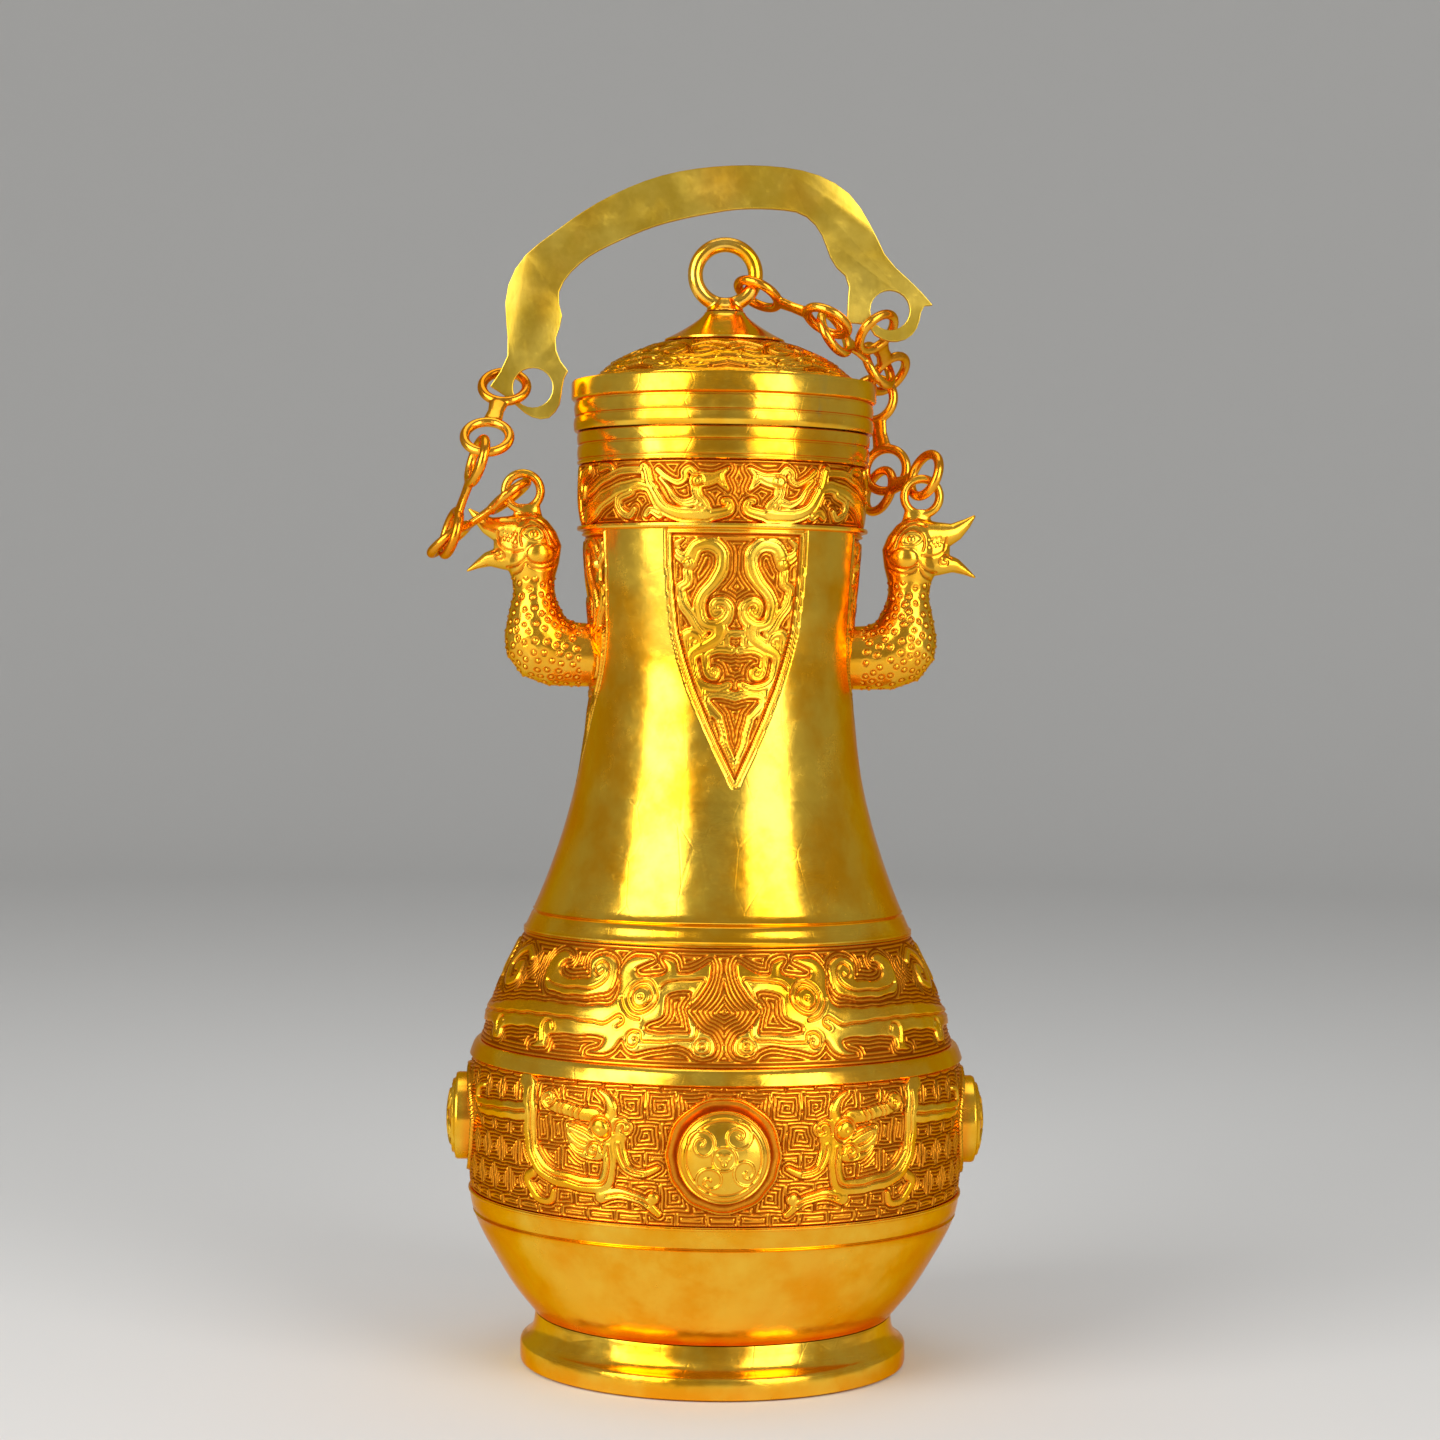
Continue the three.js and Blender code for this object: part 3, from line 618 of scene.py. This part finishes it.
# Neck band
# Two pairs of long-beaked birds face each other round the mouth, front and back.
# Their bodies sweep back as feathered wings over a lined ground.
MOUTH_RADIUS = 40.7
WINGED_BIRD_EYE = (11.4, 2.6)
WINGED_BIRD = [
    ([WINGED_BIRD_EYE], 2.5),
    ([(10.5, 3.0), (6.8, 3.4), (4.7, 4.6), (3.0, 6.0)], (2.4, 0.6)),
    ([(5.3, 3.8), (4.3, 1.8), (3.1, 0.2)], (1.7, 0.5)),
    ([(12.1, 4.3), (13.5, 5.9), (15.0, 5.0), (15.2, 3.1), (17.2, 2.3), (20.0, 3.5), (23.0, 5.8)], (1.3, 0.9)),
    ([(11.6, 0.7), (11.3, -1.5), (9.8, -3.0), (8.7, -4.4), (9.9, -5.1), (11.2, -4.2), (10.5, -3.4)],
     (1.7, 1.0)),
    ([(8.4, -6.4), (12.0, -6.9), (16.7, -6.4), (20.6, -5.2), (23.4, -1.8), (25.5, 1.8), (27.1, 6.0)],
     (2.4, 1.7)),
    ([(12.3, -3.0), (14.8, -3.4), (17.4, -2.1), (19.7, 0.6), (22.0, 3.4)], (1.5, 0.6)),
    ([(8.4, -6.6), (4.9, -6.2), (2.5, -5.1), (2.5, -3.1), (4.0, -2.9)], (1.9, 1.0)),
    ([(24.5, 0.9), (29.2, 1.8), (35.0, 0.6), (41.5, -1.4), (48.5, -4.6), (54.5, -6.6)], (1.7, 3.0)),
    ([(31.5, 0.2), (36.0, -1.9), (36.0, -5.3), (32.5, -6.6), (30.6, -5.0)], (1.6, 1.0)),
    ([(27.7, 5.4), (32.3, 5.9), (38.5, 4.8), (45.0, 2.6), (51.5, -0.2)], (1.3, 1.2)),
    ([(44.6, 6.6), (40.8, 7.2), (38.6, 6.0)], (1.3, 0.8)),
    ([(22.5, -6.4), (25.0, -5.2), (27.0, -6.8)], (1.6, 0.8)),
    ([(52.0, 6.6), (56.0, 5.6), (59.4, 3.0), (59.0, -0.4), (56.0, -0.6), (55.4, 1.8)], (1.6, 1.0)),
    ([(63.5, 7.0), (63.2, 0.0), (62.2, -7.0)], 1.6),
]


def neck_band_height(angle, z):
    u = folded(angle, 2, FRONT + NECK_TURN, MOUTH_RADIUS)
    v = z - (NECK_BAND[0] + NECK_BAND[1]) / 2
    edge = np.minimum(z - NECK_BAND[0], NECK_BAND[1] - z)
    field = depth_inside(*hand_drawn(u, v), WINGED_BIRD)
    return cast_relief(field, edge, pitch=1.0, line=0.5) + domes(u, v, [WINGED_BIRD_EYE], 1.6, 0.8)


relief_skin("neck_band", NECK_BAND, (FRONT - math.pi / 2, FRONT + math.pi / 2), 0.27, neck_band_height,
            1.0, 2)


# Foot
# A low flaring ring soldered under the bowl. Its lower edge is upright and worn bright by handling.
foot_profile = [(0, 0), (53.7, 0), (54.3, 0.4), (54.5, 1.2), (54.5, 5.4), (54.2, 6.1), (53.2, 6.7),
                (52.0, 7.8), (51.1, 9.2), (50.6, 11.0), (50.4, 13.0), (50.2, 13.9), (45.3, 13.9), (45.3, 3.0),
                (0, 3.0)]
foot = finish_mesh("foot_ring", turned(foot_profile), "flask", ["foot"])
gild(foot, polished_gilt)


# Whorl bosses
# Four low round bosses with a double rim line and four spirals that trail into it, round a small ring.
# Each is cast on its own and set into the low band.
BOSS_RADIUS = 12.3
BOSS_HEIGHT = 6.7
BOSS_MIDDLE = 68.5
WHORL_REACH = 7.1
SPOKE_POINTS = 85


def boss_height(x, y):
    """Height of the dome and its raised lines over the belly, in mm."""
    d = np.hypot(x, y)
    dome = BOSS_HEIGHT * (0.34 + 0.66 * np.sqrt(np.clip(1 - (d / (BOSS_RADIUS + 0.4)) ** 2, 0, 1)))
    whorls = []
    for k in range(4):
        centre = 1.0 + k * math.pi / 2
        cx, cy = WHORL_REACH * math.cos(centre), WHORL_REACH * math.sin(centre)
        turns = np.linspace(0, 10.6, 34)
        reach = 0.45 + 1.15 * soft_step(turns, 10.6, 6.6) + 1.8 * soft_step(turns, 6.8, 4.0)
        around = centre + 0.58 - turns
        whorls.append((list(zip(cx + reach * np.cos(around), cy + reach * np.sin(around))), (0.3, 0.24)))
    lines = 0.56 * soft_step(depth_inside(x, y, whorls), -0.2, 0.14)
    rim = 0.5 * np.exp(-((d - 10.2) / 0.25) ** 2) + 0.55 * np.exp(-((d - 12.0) / 0.28) ** 2)
    ring = 0.6 * np.exp(-((d - 3.2) / 0.26) ** 2)
    around = np.arctan2(y, x)
    lobes = 0.42 * np.exp(-((d - 1.4 - 0.45 * np.cos(3 * around - math.pi / 2)) / 0.26) ** 2)
    raised = np.maximum.reduce([lines, rim, ring, lobes])
    groove = np.exp(-((d - 9.7) / 0.2) ** 2) + np.exp(-((d - 11.5) / 0.25) ** 2)
    # The colour level drops in the grooves as painted shade; the raised lines take full gold.
    return dome + raised - 0.12 * groove, np.clip(0.92 - 0.4 * groove + raised, 0, 1)


for name, facing in (("boss_front", FRONT), ("boss_right", 0.0), ("boss_back", -FRONT),
                     ("boss_left", math.pi)):
    bm = spun([(BOSS_RADIUS * i / (SPOKE_POINTS - 1), 0, 0) for i in range(SPOKE_POINTS)], 270, 1e-4)
    rim_edges = [e for e in bm.edges if e.is_boundary]
    skirt = bmesh.ops.extrude_edge_only(bm, edges=rim_edges)
    for v in (g for g in skirt["geom"] if isinstance(g, bmesh.types.BMVert)):
        v.co.z = -9
    bmesh.ops.recalc_face_normals(bm, faces=bm.faces)
    boss = finish_mesh(name + "_dome", bm, "flask", [name], sharp=60)
    x, y, z = read_points(boss).T
    rise, level = boss_height(x, y)
    out = np.where(z < -1, 66.0, 69.3 + rise * 0.93)
    turn = np.array([[math.cos(facing), -math.sin(facing)], [math.sin(facing), math.cos(facing)]])
    flat = turn @ np.array([out, x])
    # The skirt round the dome's edge takes the dark recess colour, painted shade where the boss meets the
    # band.
    write_points(boss, np.column_stack([flat[0], flat[1], y + BOSS_MIDDLE]) * MM,
                 np.where(z < -1, 0.1, level))
    turn_outwards(boss)
    gild(boss, relief_gilt)


# Lid
# A cap that fits over the mouth: three plain turned bands, a low decorated roof and a polished cone.
LID_FOOT = 261.85
ROOF = [(38.3, 276.3), (36.9, 277.2), (35.0, 278.6), (33.0, 280.3), (30.9, 281.9), (28.2, 283.4),
        (25.1, 284.8), (21.2, 286.4), (17.1, 287.7)]
lid_profile = [(41.9, LID_FOOT), (42.15, 262.2), (42.35, 263.9), (42.1, 265.5), (41.4, 265.7), (41.4, 266.05),
               (42.0, 266.25), (42.25, 268.2), (42.0, 269.8), (41.3, 270.0), (41.3, 270.4), (42.6, 270.6),
               (43.0, 271.0), (43.0, 275.4), (42.6, 276.0), (38.6, 276.1)]
lid_profile += [(r - 1.0, z - 0.9) for r, z in ROOF]
lid_profile += [(17.0, 287.8), (16.9, 288.3), (16.2, 288.6), (14.0, 289.7), (11.6, 291.1), (9.4, 292.5),
                (7.6, 293.8), (6.5, 294.8), (5.9, 295.5), (5.7, 296.0), (0, 296.0)]
lid_profile += [(0, 290.8), (13.3, 285.3), (31, 278.0), (36, 274.2), (39.8, 274.1), (39.8, LID_FOOT),
                (41.9, LID_FOOT)]
lid = finish_mesh("lid_cap", turned(lid_profile), "lid", ["lid"])
gild(lid, polished_gilt)


# Lid roof
# The sloping roof carries interlaced dragons over a lined ground, cast in one with the cap.
roof_radii, roof_heights = np.array(ROOF).T
ROOF_RADIUS = 28.0
ROOF_WIDTH = 21.0
ROOF_SCROLL = [
    ([(0.0, 7.4), (4.0, 8.4), (8.4, 7.4), (11.6, 5.0)], (1.3, 0.8)),
    ([(1.6, 4.0), (5.2, 5.2), (9.0, 3.8), (8.0, 1.4), (5.0, 2.0)], (1.3, 0.7)),
    ([(-0.6, 0.8), (3.0, 0.4), (6.6, -1.6), (11.6, -1.0)], (1.5, 0.9)),
    ([(1.2, -3.2), (4.4, -4.4), (8.2, -4.0), (10.0, -5.8), (7.6, -7.0), (4.8, -6.4)], (1.4, 0.8)),
    ([(-0.6, -8.8), (4.0, -9.4), (11.6, -8.2)], (1.2, 1.0)),
    ([(2.6, -1.4)], 1.0),
]


def roof_height(angle, slope_height):
    v = ((slope_height - roof_heights[0]) / (roof_heights[-1] - roof_heights[0]) - 0.5) * ROOF_WIDTH
    u = folded(angle, 8, FRONT, ROOF_RADIUS)
    edge = ROOF_WIDTH / 2 - np.abs(v)
    carved = cast_relief(depth_inside(u, v, ROOF_SCROLL), edge, pitch=1.15)
    return carved + domes(u, v, [(2.6, -1.4)], 0.7, 0.4)


def face_up(bm):
    """Faces of an open surface point upwards."""
    if sum(face.normal.z for face in bm.faces) < 0:
        bmesh.ops.reverse_faces(bm, faces=bm.faces)


stations = np.linspace(0, 1, len(ROOF))
bm = spun([(float(np.interp(t, stations, roof_radii)), 0, float(np.interp(t, stations, roof_heights)))
           for t in np.linspace(0, 1, 70)], 560, 1e-5)
roof = finish_mesh("lid_roof", bm, "lid", ["lid"], sharp=0)
x, y, z = read_points(roof).T
rise = roof_height(np.arctan2(y, x), z)
lift = (rise - 1.0) * 0.8
shrink = 1 + lift * 0.35 / np.hypot(x, y)
raised = np.column_stack([x * shrink, y * shrink, z + lift * 0.85]) * MM
write_points(roof, raised, np.clip(rise / FULL_RELIEF, 0, 1))
bm = bmesh.new()
bm.from_mesh(roof.data)
face_up(bm)
bm.to_mesh(roof.data)
bm.free()
gild(roof, relief_gilt)


# Ring on the lid
# A thick cast ring on a short stub. It is worn flat and bright where the chain rubs it.
def settle(piece, voxel, rounds=2):
    """Joins overlapping shapes of a piece into one skin with soft fillets."""
    remesh = piece.modifiers.new("skin", "REMESH")
    remesh.mode = "VOXEL"
    remesh.voxel_size = voxel * MM
    made = piece.evaluated_get(bpy.context.evaluated_depsgraph_get())
    bm = bmesh.new()
    bm.from_mesh(made.to_mesh())
    made.to_mesh_clear()
    piece.modifiers.clear()
    for _ in range(rounds):
        bmesh.ops.smooth_vert(bm, verts=bm.verts, factor=0.5,
                              use_axis_x=True, use_axis_y=True, use_axis_z=True)
    bm.to_mesh(piece.data)
    bm.free()
    piece.data.shade_smooth()


def add_ring(bm, centre, radius, wire, matrix=Matrix.Identity(3), flat=1.0, steps=72):
    """A round bar bent into a ring in its own XY plane."""
    made = bmesh.ops.create_circle(bm, cap_ends=False, segments=20, radius=wire / 2)["verts"]
    bmesh.ops.rotate(bm, verts=made, cent=(0, 0, 0), matrix=Matrix.Rotation(math.pi / 2, 3, "X"))
    bmesh.ops.scale(bm, verts=made, vec=(1, 1, flat))
    bmesh.ops.translate(bm, verts=made, vec=(radius, 0, 0))
    before = set(bm.verts) - set(made)
    bmesh.ops.spin(bm, geom=made + [e for e in bm.edges if e.verts[0] in set(made)], cent=(0, 0, 0),
                   axis=(0, 0, 1), angle=2 * math.pi, steps=steps, use_merge=True)
    ring = [v for v in bm.verts if v not in before]
    bmesh.ops.transform(bm, verts=ring, matrix=Matrix.Translation(centre) @ matrix.to_4x4())


ring_gilt = gilding("ring gilt", high=(1.0, 0.62, 0.10, 1), rough=0.16, scratch=0.8)
bm = bmesh.new()
add_ring(bm, Vector((0, 0, 306.7)), 8.5, 4.3, Matrix.Rotation(math.pi / 2, 3, "X"))
for low, high, wide, narrow in ((296.3, 297.6, 5.6, 4.2), (297.2, 300.0, 4.4, 2.6)):
    bmesh.ops.create_cone(bm, cap_ends=True, segments=40, radius1=wide, radius2=narrow, depth=high - low,
                          matrix=Matrix.Translation((0, 0, (low + high) / 2)))
bmesh.ops.scale(bm, verts=bm.verts, vec=(MM, MM, MM))
bmesh.ops.recalc_face_normals(bm, faces=bm.faces)
lid_ring = finish_mesh("lid_ring_loop", bm, "lid", ["lid_ring"], sharp=0)
settle(lid_ring, 0.35, 3)
gild(lid_ring, ring_gilt)


# Bird heads
# Each is cast hollow, soldered to the neck behind, with an open beak and a flat loop on its crown.
# The neck and breast are covered with small round pimples, and the face is chased with fine lines.
NECK_STATIONS = [((35.0, 199.0), 8.9, 8.3, 0), ((41.5, 199.2), 9.1, 8.6, 2), ((46.4, 199.9), 9.9, 8.9, 14),
                 ((50.4, 201.9), 10.6, 9.2, 33), ((53.0, 205.6), 10.1, 9.0, 48),
                 ((53.8, 209.3), 8.9, 8.2, 56), ((53.5, 213.4), 7.2, 7.0, 66), ((53.0, 217.4), 5.9, 6.0, 78),
                 ((53.1, 220.8), 6.2, 6.2, 86), ((53.5, 224.8), 7.6, 6.8, 88), ((53.4, 229.8), 8.1, 7.1, 90),
                 ((53.6, 234.4), 6.8, 5.9, 96), ((53.6, 237.4), 4.4, 3.8, 98), ((53.6, 239.0), 1.6, 1.5, 98)]
FACE_STATIONS = [((54.0, 229.6), 7.0, 6.0, 0), ((58.6, 229.2), 6.6, 5.2, 0), ((62.2, 229.4), 5.2, 4.0, -2),
                 ((64.4, 230.2), 2.0, 2.0, 0)]
UPPER_BEAK = [((57.6, 234.0), 4.6, 4.6, 10), ((62.6, 234.2), 3.9, 3.6, 20), ((66.2, 235.3), 2.6, 2.4, 32),
              ((69.2, 237.6), 1.5, 1.5, 40), ((71.7, 239.9), 0.3, 0.4, 42)]
LOWER_BEAK = [((57.6, 226.0), 4.0, 4.4, -6), ((62.4, 226.0), 3.3, 3.4, -14), ((66.2, 225.6), 2.1, 2.3, -24),
              ((69.2, 224.0), 1.1, 1.4, -28), ((72.0, 222.2), 0.3, 0.4, -30)]


def add_loft(bm, stations):
    """Bridges oval sections set along a line in the XZ plane. Angles are in degrees up from +X."""
    loops = []
    for (x, z), high, wide, tilt in stations:
        verts = bmesh.ops.create_circle(bm, cap_ends=False, segments=36, radius=1)["verts"]
        matrix = (Matrix.Translation((x, 0, z)) @ Matrix.Rotation(math.radians(90 - tilt), 4, "Y")
                  @ Matrix.Diagonal((high, wide, 1, 1)))
        bmesh.ops.transform(bm, verts=verts, matrix=matrix)
        own = set(verts)
        loops.append([e for e in bm.edges if e.verts[0] in own and e.verts[1] in own])
    for first, second in zip(loops, loops[1:]):
        bmesh.ops.bridge_loops(bm, edges=first + second)
    for end in (loops[0], loops[-1]):
        bmesh.ops.contextual_create(bm, geom=end)


FACE_LINES = [
    ([(55.0, 226.4), (53.5, 224.9), (50.6, 224.3), (48.0, 225.6), (46.3, 227.7), (45.9, 230.2)], 0.34),
    ([(55.0, 226.4), (56.1, 225.1), (58.2, 223.9), (60.3, 223.5)], 0.34),
    ([(59.4, 221.3), (56.9, 222.4), (55.2, 224.6), (53.4, 223.4), (50.4, 222.9), (47.5, 223.9),
      (45.8, 225.0)], 0.34),
    ([(64.7, 227.7), (62.8, 228.3), (61.3, 226.8), (62.0, 225.6), (63.5, 225.8), (63.7, 226.8),
      (62.8, 227.0)], 0.28),
    ([(63.3, 233.2), (62.8, 230.2), (61.1, 228.5), (58.6, 227.9), (56.1, 228.1)], 0.32),
    ([(56.3, 229.4), (56.9, 231.5), (56.3, 234.0), (53.9, 235.5), (51.4, 234.9), (49.7, 232.8), (48.9, 230.2),
      (47.2, 228.5)], 0.32),
    ([(57.3, 236.6), (54.4, 237.2), (51.4, 236.4), (49.3, 234.2), (47.6, 231.1), (45.9, 229.0)], 0.32),
    ([(54.4, 238.5), (50.6, 237.4), (48.2, 234.9), (46.6, 231.5)], 0.3),
]
EYE_LINE = [([(56.1, 232.8), (54.8, 234.3), (52.3, 234.5), (50.6, 232.8), (50.8, 231.2), (52.7, 230.8),
              (54.8, 231.5), (56.1, 232.8)], 0.3)]


def dress_bird(piece):
    """Raises the face's lines, eye and cheek, and the pimples of neck and breast, along the normals."""
    place = read_points(piece)
    normals = read_points(piece, "normal")
    x, y, z = place.T / MM
    side = soft_step(np.abs(normals[:, 1]), 0.25, 0.6)
    lines = depth_inside(x, z, FACE_LINES)
    eye_line = depth_inside(x, z, EYE_LINE)
    rise = -0.3 * soft_step(lines, -0.15, 0.22) * side
    rise += 0.34 * soft_step(eye_line, -0.2, 0.2) * side
    pupil = np.hypot(x - 53.0, z - 232.7)
    rise += 0.6 * np.sqrt(np.clip(1 - (pupil / 1.15) ** 2, 0, 1)) * side
    rise += 1.2 * np.sqrt(np.clip(1 - ((x - 50.9) / 4.1) ** 2 - ((z - 227.3) / 2.9) ** 2, 0, 1)) * side
    for dx in range(4):
        for dz in range(3):
            dot = np.hypot(x - (58.0 + 1.1 * dx + 0.5 * (dz % 2)), z - (230.4 + 1.1 * dz + 0.25 * dx))
            rise -= 0.3 * np.exp(-((dot / 0.34) ** 2)) * side
    covered = (z < 220.6) & (x > 39.5)
    tree = kdtree.KDTree(int(covered.sum()))
    for i in np.flatnonzero(covered):
        tree.insert(place[i], int(i))
    tree.balance()
    taken = np.zeros(len(x), bool)
    order = np.random.default_rng(7).permutation(np.flatnonzero(covered))
    pimple, ditch = np.zeros((2, len(x)))
    for i in order:
        if taken[i]:
            continue
        for _, j, distance in tree.find_range(place[i], 2.35 * MM):
            taken[j] = True
            reach = distance / MM
            if reach < 1.6:
                pimple[j] = math.exp(-((reach / 0.42) ** 2))
                ditch[j] = math.exp(-(((reach - 0.8) / 0.22) ** 2))
    rise += 0.3 * pimple - 0.18 * ditch
    # The colour level is lower in the face's cut lines and in the ditches round the pimples: painted shade.
    level = 0.86 - 0.5 * soft_step(lines, -0.3, 0.2) * side - 0.75 * ditch
    write_points(piece, place + normals * rise[:, None] * MM, np.clip(level, 0, 1))


for name in ("right_bird", "left_bird"):
    bm = bmesh.new()
    for stations in (NECK_STATIONS, FACE_STATIONS, UPPER_BEAK, LOWER_BEAK):
        add_loft(bm, stations)
    add_ring(bm, Vector((56.4, 0, 245.0)), 5.0, 2.6, Matrix.Rotation(math.pi / 2, 3, "X"), flat=1.1, steps=48)
    bmesh.ops.create_cone(bm, cap_ends=True, segments=24, radius1=4.7, radius2=3.4, depth=5.4,
                          matrix=Matrix.Translation((55.0, 0, 238.7)) @ Matrix.Diagonal((1, 0.42, 1, 1)))
    bmesh.ops.scale(bm, verts=bm.verts, vec=(MM, MM, MM))
    bmesh.ops.recalc_face_normals(bm, faces=bm.faces)
    bird = finish_mesh(name + "_head", bm, "flask", [name], sharp=0)
    settle(bird, 0.28, 4)
    dress_bird(bird)
    if name == "left_bird":
        bm = bmesh.new()
        bm.from_mesh(bird.data)
        bmesh.ops.rotate(bm, verts=bm.verts, cent=(0, 0, 0), matrix=Matrix.Rotation(math.pi, 3, "Z"))
        bm.to_mesh(bird.data)
        bm.free()
    gild(bird, relief_gilt)


# Handle
# A flat bow sawn from plate, with an open-mouthed animal head and an eye hole at each end.
# Its gilding is thin and worn to a greenish yellow, with fine scratches along the bow.
handle_gilt = gilding("handle gilt", high=(0.9, 0.63, 0.09, 1), low=(0.68, 0.43, 0.035, 1), rough=0.3,
                      stains=0.12, scratch=0.35, brushed=(3, 1, 1), dent=0.03)
bm = bmesh.new()
bm.from_mesh(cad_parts["handle"].data)
bmesh.ops.remove_doubles(bm, verts=bm.verts, dist=1e-6)
bmesh.ops.dissolve_limit(bm, angle_limit=0.02, verts=bm.verts, edges=bm.edges)
crisp = [e for e in bm.edges if len(e.link_faces) == 2 and e.calc_face_angle(0) > 1.0]
bmesh.ops.bevel(bm, geom=crisp, offset=0.25 * MM, offset_type="OFFSET", segments=2, profile=0.5,
                affect="EDGES", material=-1, clamp_overlap=True)
bmesh.ops.triangulate(bm, faces=[f for f in bm.faces if len(f.verts) > 4])
handle = finish_mesh("handle_plate", bm, "handle", ["handle"], sharp=18)
gild(handle, handle_gilt)


# Chain links
# Eight links, each of two rings of round wire joined by a short flat bar, cast in one.
# Three hang between the handle and each bird head, and two tie the lid's ring to the right-hand chain.
link_gilt = gilding("link gilt", high=(0.98, 0.47, 0.04, 1), low=(0.82, 0.28, 0.012, 1), rough=0.2,
                    scratch=0.8)
LINKS = {
    "left_link_top": ((-61.90, 0.00, 274.30), (-66.02, -14.95, 259.12), (0.00, -0.71, 0.70)),
    "left_link_middle": ((-68.53, -18.36, 252.28), (-75.80, -13.11, 232.52), (0.92, 0.28, -0.27)),
    "left_link_bottom": ((-76.44, -10.11, 230.84), (-60.13, -3.21, 243.38), (-0.63, 0.07, 0.78)),
    "right_link_top": ((43.13, 1.88, 291.40), (48.25, 20.41, 281.33), (0.59, -0.50, -0.63)),
    "right_link_middle": ((44.08, 23.15, 274.10), (47.62, 17.67, 253.41), (0.43, 0.89, -0.16)),
    "right_link_bottom": ((45.65, 17.45, 247.30), (57.17, -0.56, 251.03), (0.83, 0.47, -0.30)),
    "lid_link_upper": ((9.33, 0.50, 301.55), (28.65, -5.40, 293.64), (-0.44, -0.33, -0.84)),
    "lid_link_lower": ((31.06, -0.22, 290.79), (44.68, 14.88, 283.21), (0.76, -0.47, 0.45)),
}
RING_RADIUS = 6.25
WIRE = 2.7832

for name, (first, second, facing) in LINKS.items():
    first, second, facing = Vector(first), Vector(second), Vector(facing)
    along = (second - first).normalized()
    across = facing.cross(along).normalized()
    out = along.cross(across)
    turn = Matrix((along, across, out)).transposed()
    length = (second - first).length
    bm = bmesh.new()
    add_ring(bm, Vector((0, 0, 0)), RING_RADIUS, WIRE)
    add_ring(bm, Vector((length, 0, 0)), RING_RADIUS, WIRE)
    start, end = RING_RADIUS, length - RING_RADIUS
    bar = [((start - 0.3, 0), 1.2, 3.5, 0), ((start + 1.3, 0), 1.15, 2.7, 0), ((length / 2, 0), 1.1, 2.3, 0),
           ((end - 1.3, 0), 1.15, 2.7, 0), ((end + 0.3, 0), 1.2, 3.5, 0)]
    add_loft(bm, bar)
    bmesh.ops.transform(bm, verts=bm.verts, matrix=Matrix.Translation(first) @ turn.to_4x4())
    bmesh.ops.scale(bm, verts=bm.verts, vec=(MM, MM, MM))
    bmesh.ops.recalc_face_normals(bm, faces=bm.faces)
    side, _, place = name.split("_")
    link = finish_mesh(name + "_wire", bm, f"{side}_{place}_link", [name], sharp=0)
    settle(link, 0.3, 2)
    gild(link, link_gilt)


# Floor, light and camera
# A pale sweep under soft studio lamps, seen from the photograph's height and side.
def plain(name, colour, rough=0.9):
    paint = Paint(name)
    shader = paint.add("ShaderNodeBsdfPrincipled", {}, {"Base Color": colour, "Roughness": rough})
    paint.add("ShaderNodeOutputMaterial", {}, {"Surface": shader})
    return paint.material


sweep = [(0.0, 0.0), (0.3, 0.0), (0.8, 0.0), (1.9, 0.0)]
sweep += [(1.9 + 1.1 * math.sin(a), 1.1 - 1.1 * math.cos(a)) for a in np.linspace(0.1, math.pi / 2, 16)]
bm = spun([(r, 0, z - 0.0002) for r, z in sweep + [(3.0, 1.7)]], 96, 1e-5)
bmesh.ops.recalc_face_normals(bm, faces=bm.faces)
face_up(bm)
mesh = bpy.data.meshes.new("floor")
bm.to_mesh(mesh)
bm.free()
floor = bpy.data.objects.new("floor", mesh)
bpy.context.scene.collection.objects.link(floor)
mesh.shade_smooth()
mesh.materials.append(plain("pale paper", (0.76, 0.755, 0.74, 1)))

for name, place, size, power in (("key", (-0.98, -0.86, 0.64), (0.9, 1.05), 15.0),
                                 ("fill", (0.80, -1.02, 0.6), (0.75, 1.05), 10.5),
                                 ("top", (0.0, 0.15, 1.5), (0.9, 0.9), 3.5)):
    light = bpy.data.lights.new(name, "AREA")
    light.shape = "RECTANGLE"
    light.size, light.size_y = size
    light.energy = power
    lamp = bpy.data.objects.new(name, light)
    lamp.location = place
    lamp.rotation_euler = (Vector((0, 0, 0.16)) - Vector(place)).to_track_quat("-Z", "Y").to_euler()
    bpy.context.scene.collection.objects.link(lamp)

world = bpy.data.worlds.new("studio")
world.use_nodes = True
world.node_tree.nodes["Background"].inputs["Color"].default_value = (0.9, 0.9, 0.9, 1)
world.node_tree.nodes["Background"].inputs["Strength"].default_value = 0.34
bpy.context.scene.world = world
bpy.context.scene.view_settings.view_transform = "Standard"

camera_data = bpy.data.cameras.new("camera")
camera_data.lens = 79.4
camera_data.sensor_width = 36
camera = bpy.data.objects.new("camera", camera_data)
turn = math.radians(-1.9)
place = Vector((0.8985 * math.sin(turn), -0.8985 * math.cos(turn), 0.201))
look = (Vector((0, 0, 0.1811)) - place).to_track_quat("-Z", "Y").to_matrix()
camera.matrix_world = Matrix.Translation(place) @ (look @ Matrix.Rotation(math.radians(0.7), 3, "Z")).to_4x4()
bpy.context.scene.collection.objects.link(camera)
bpy.context.scene.camera = camera
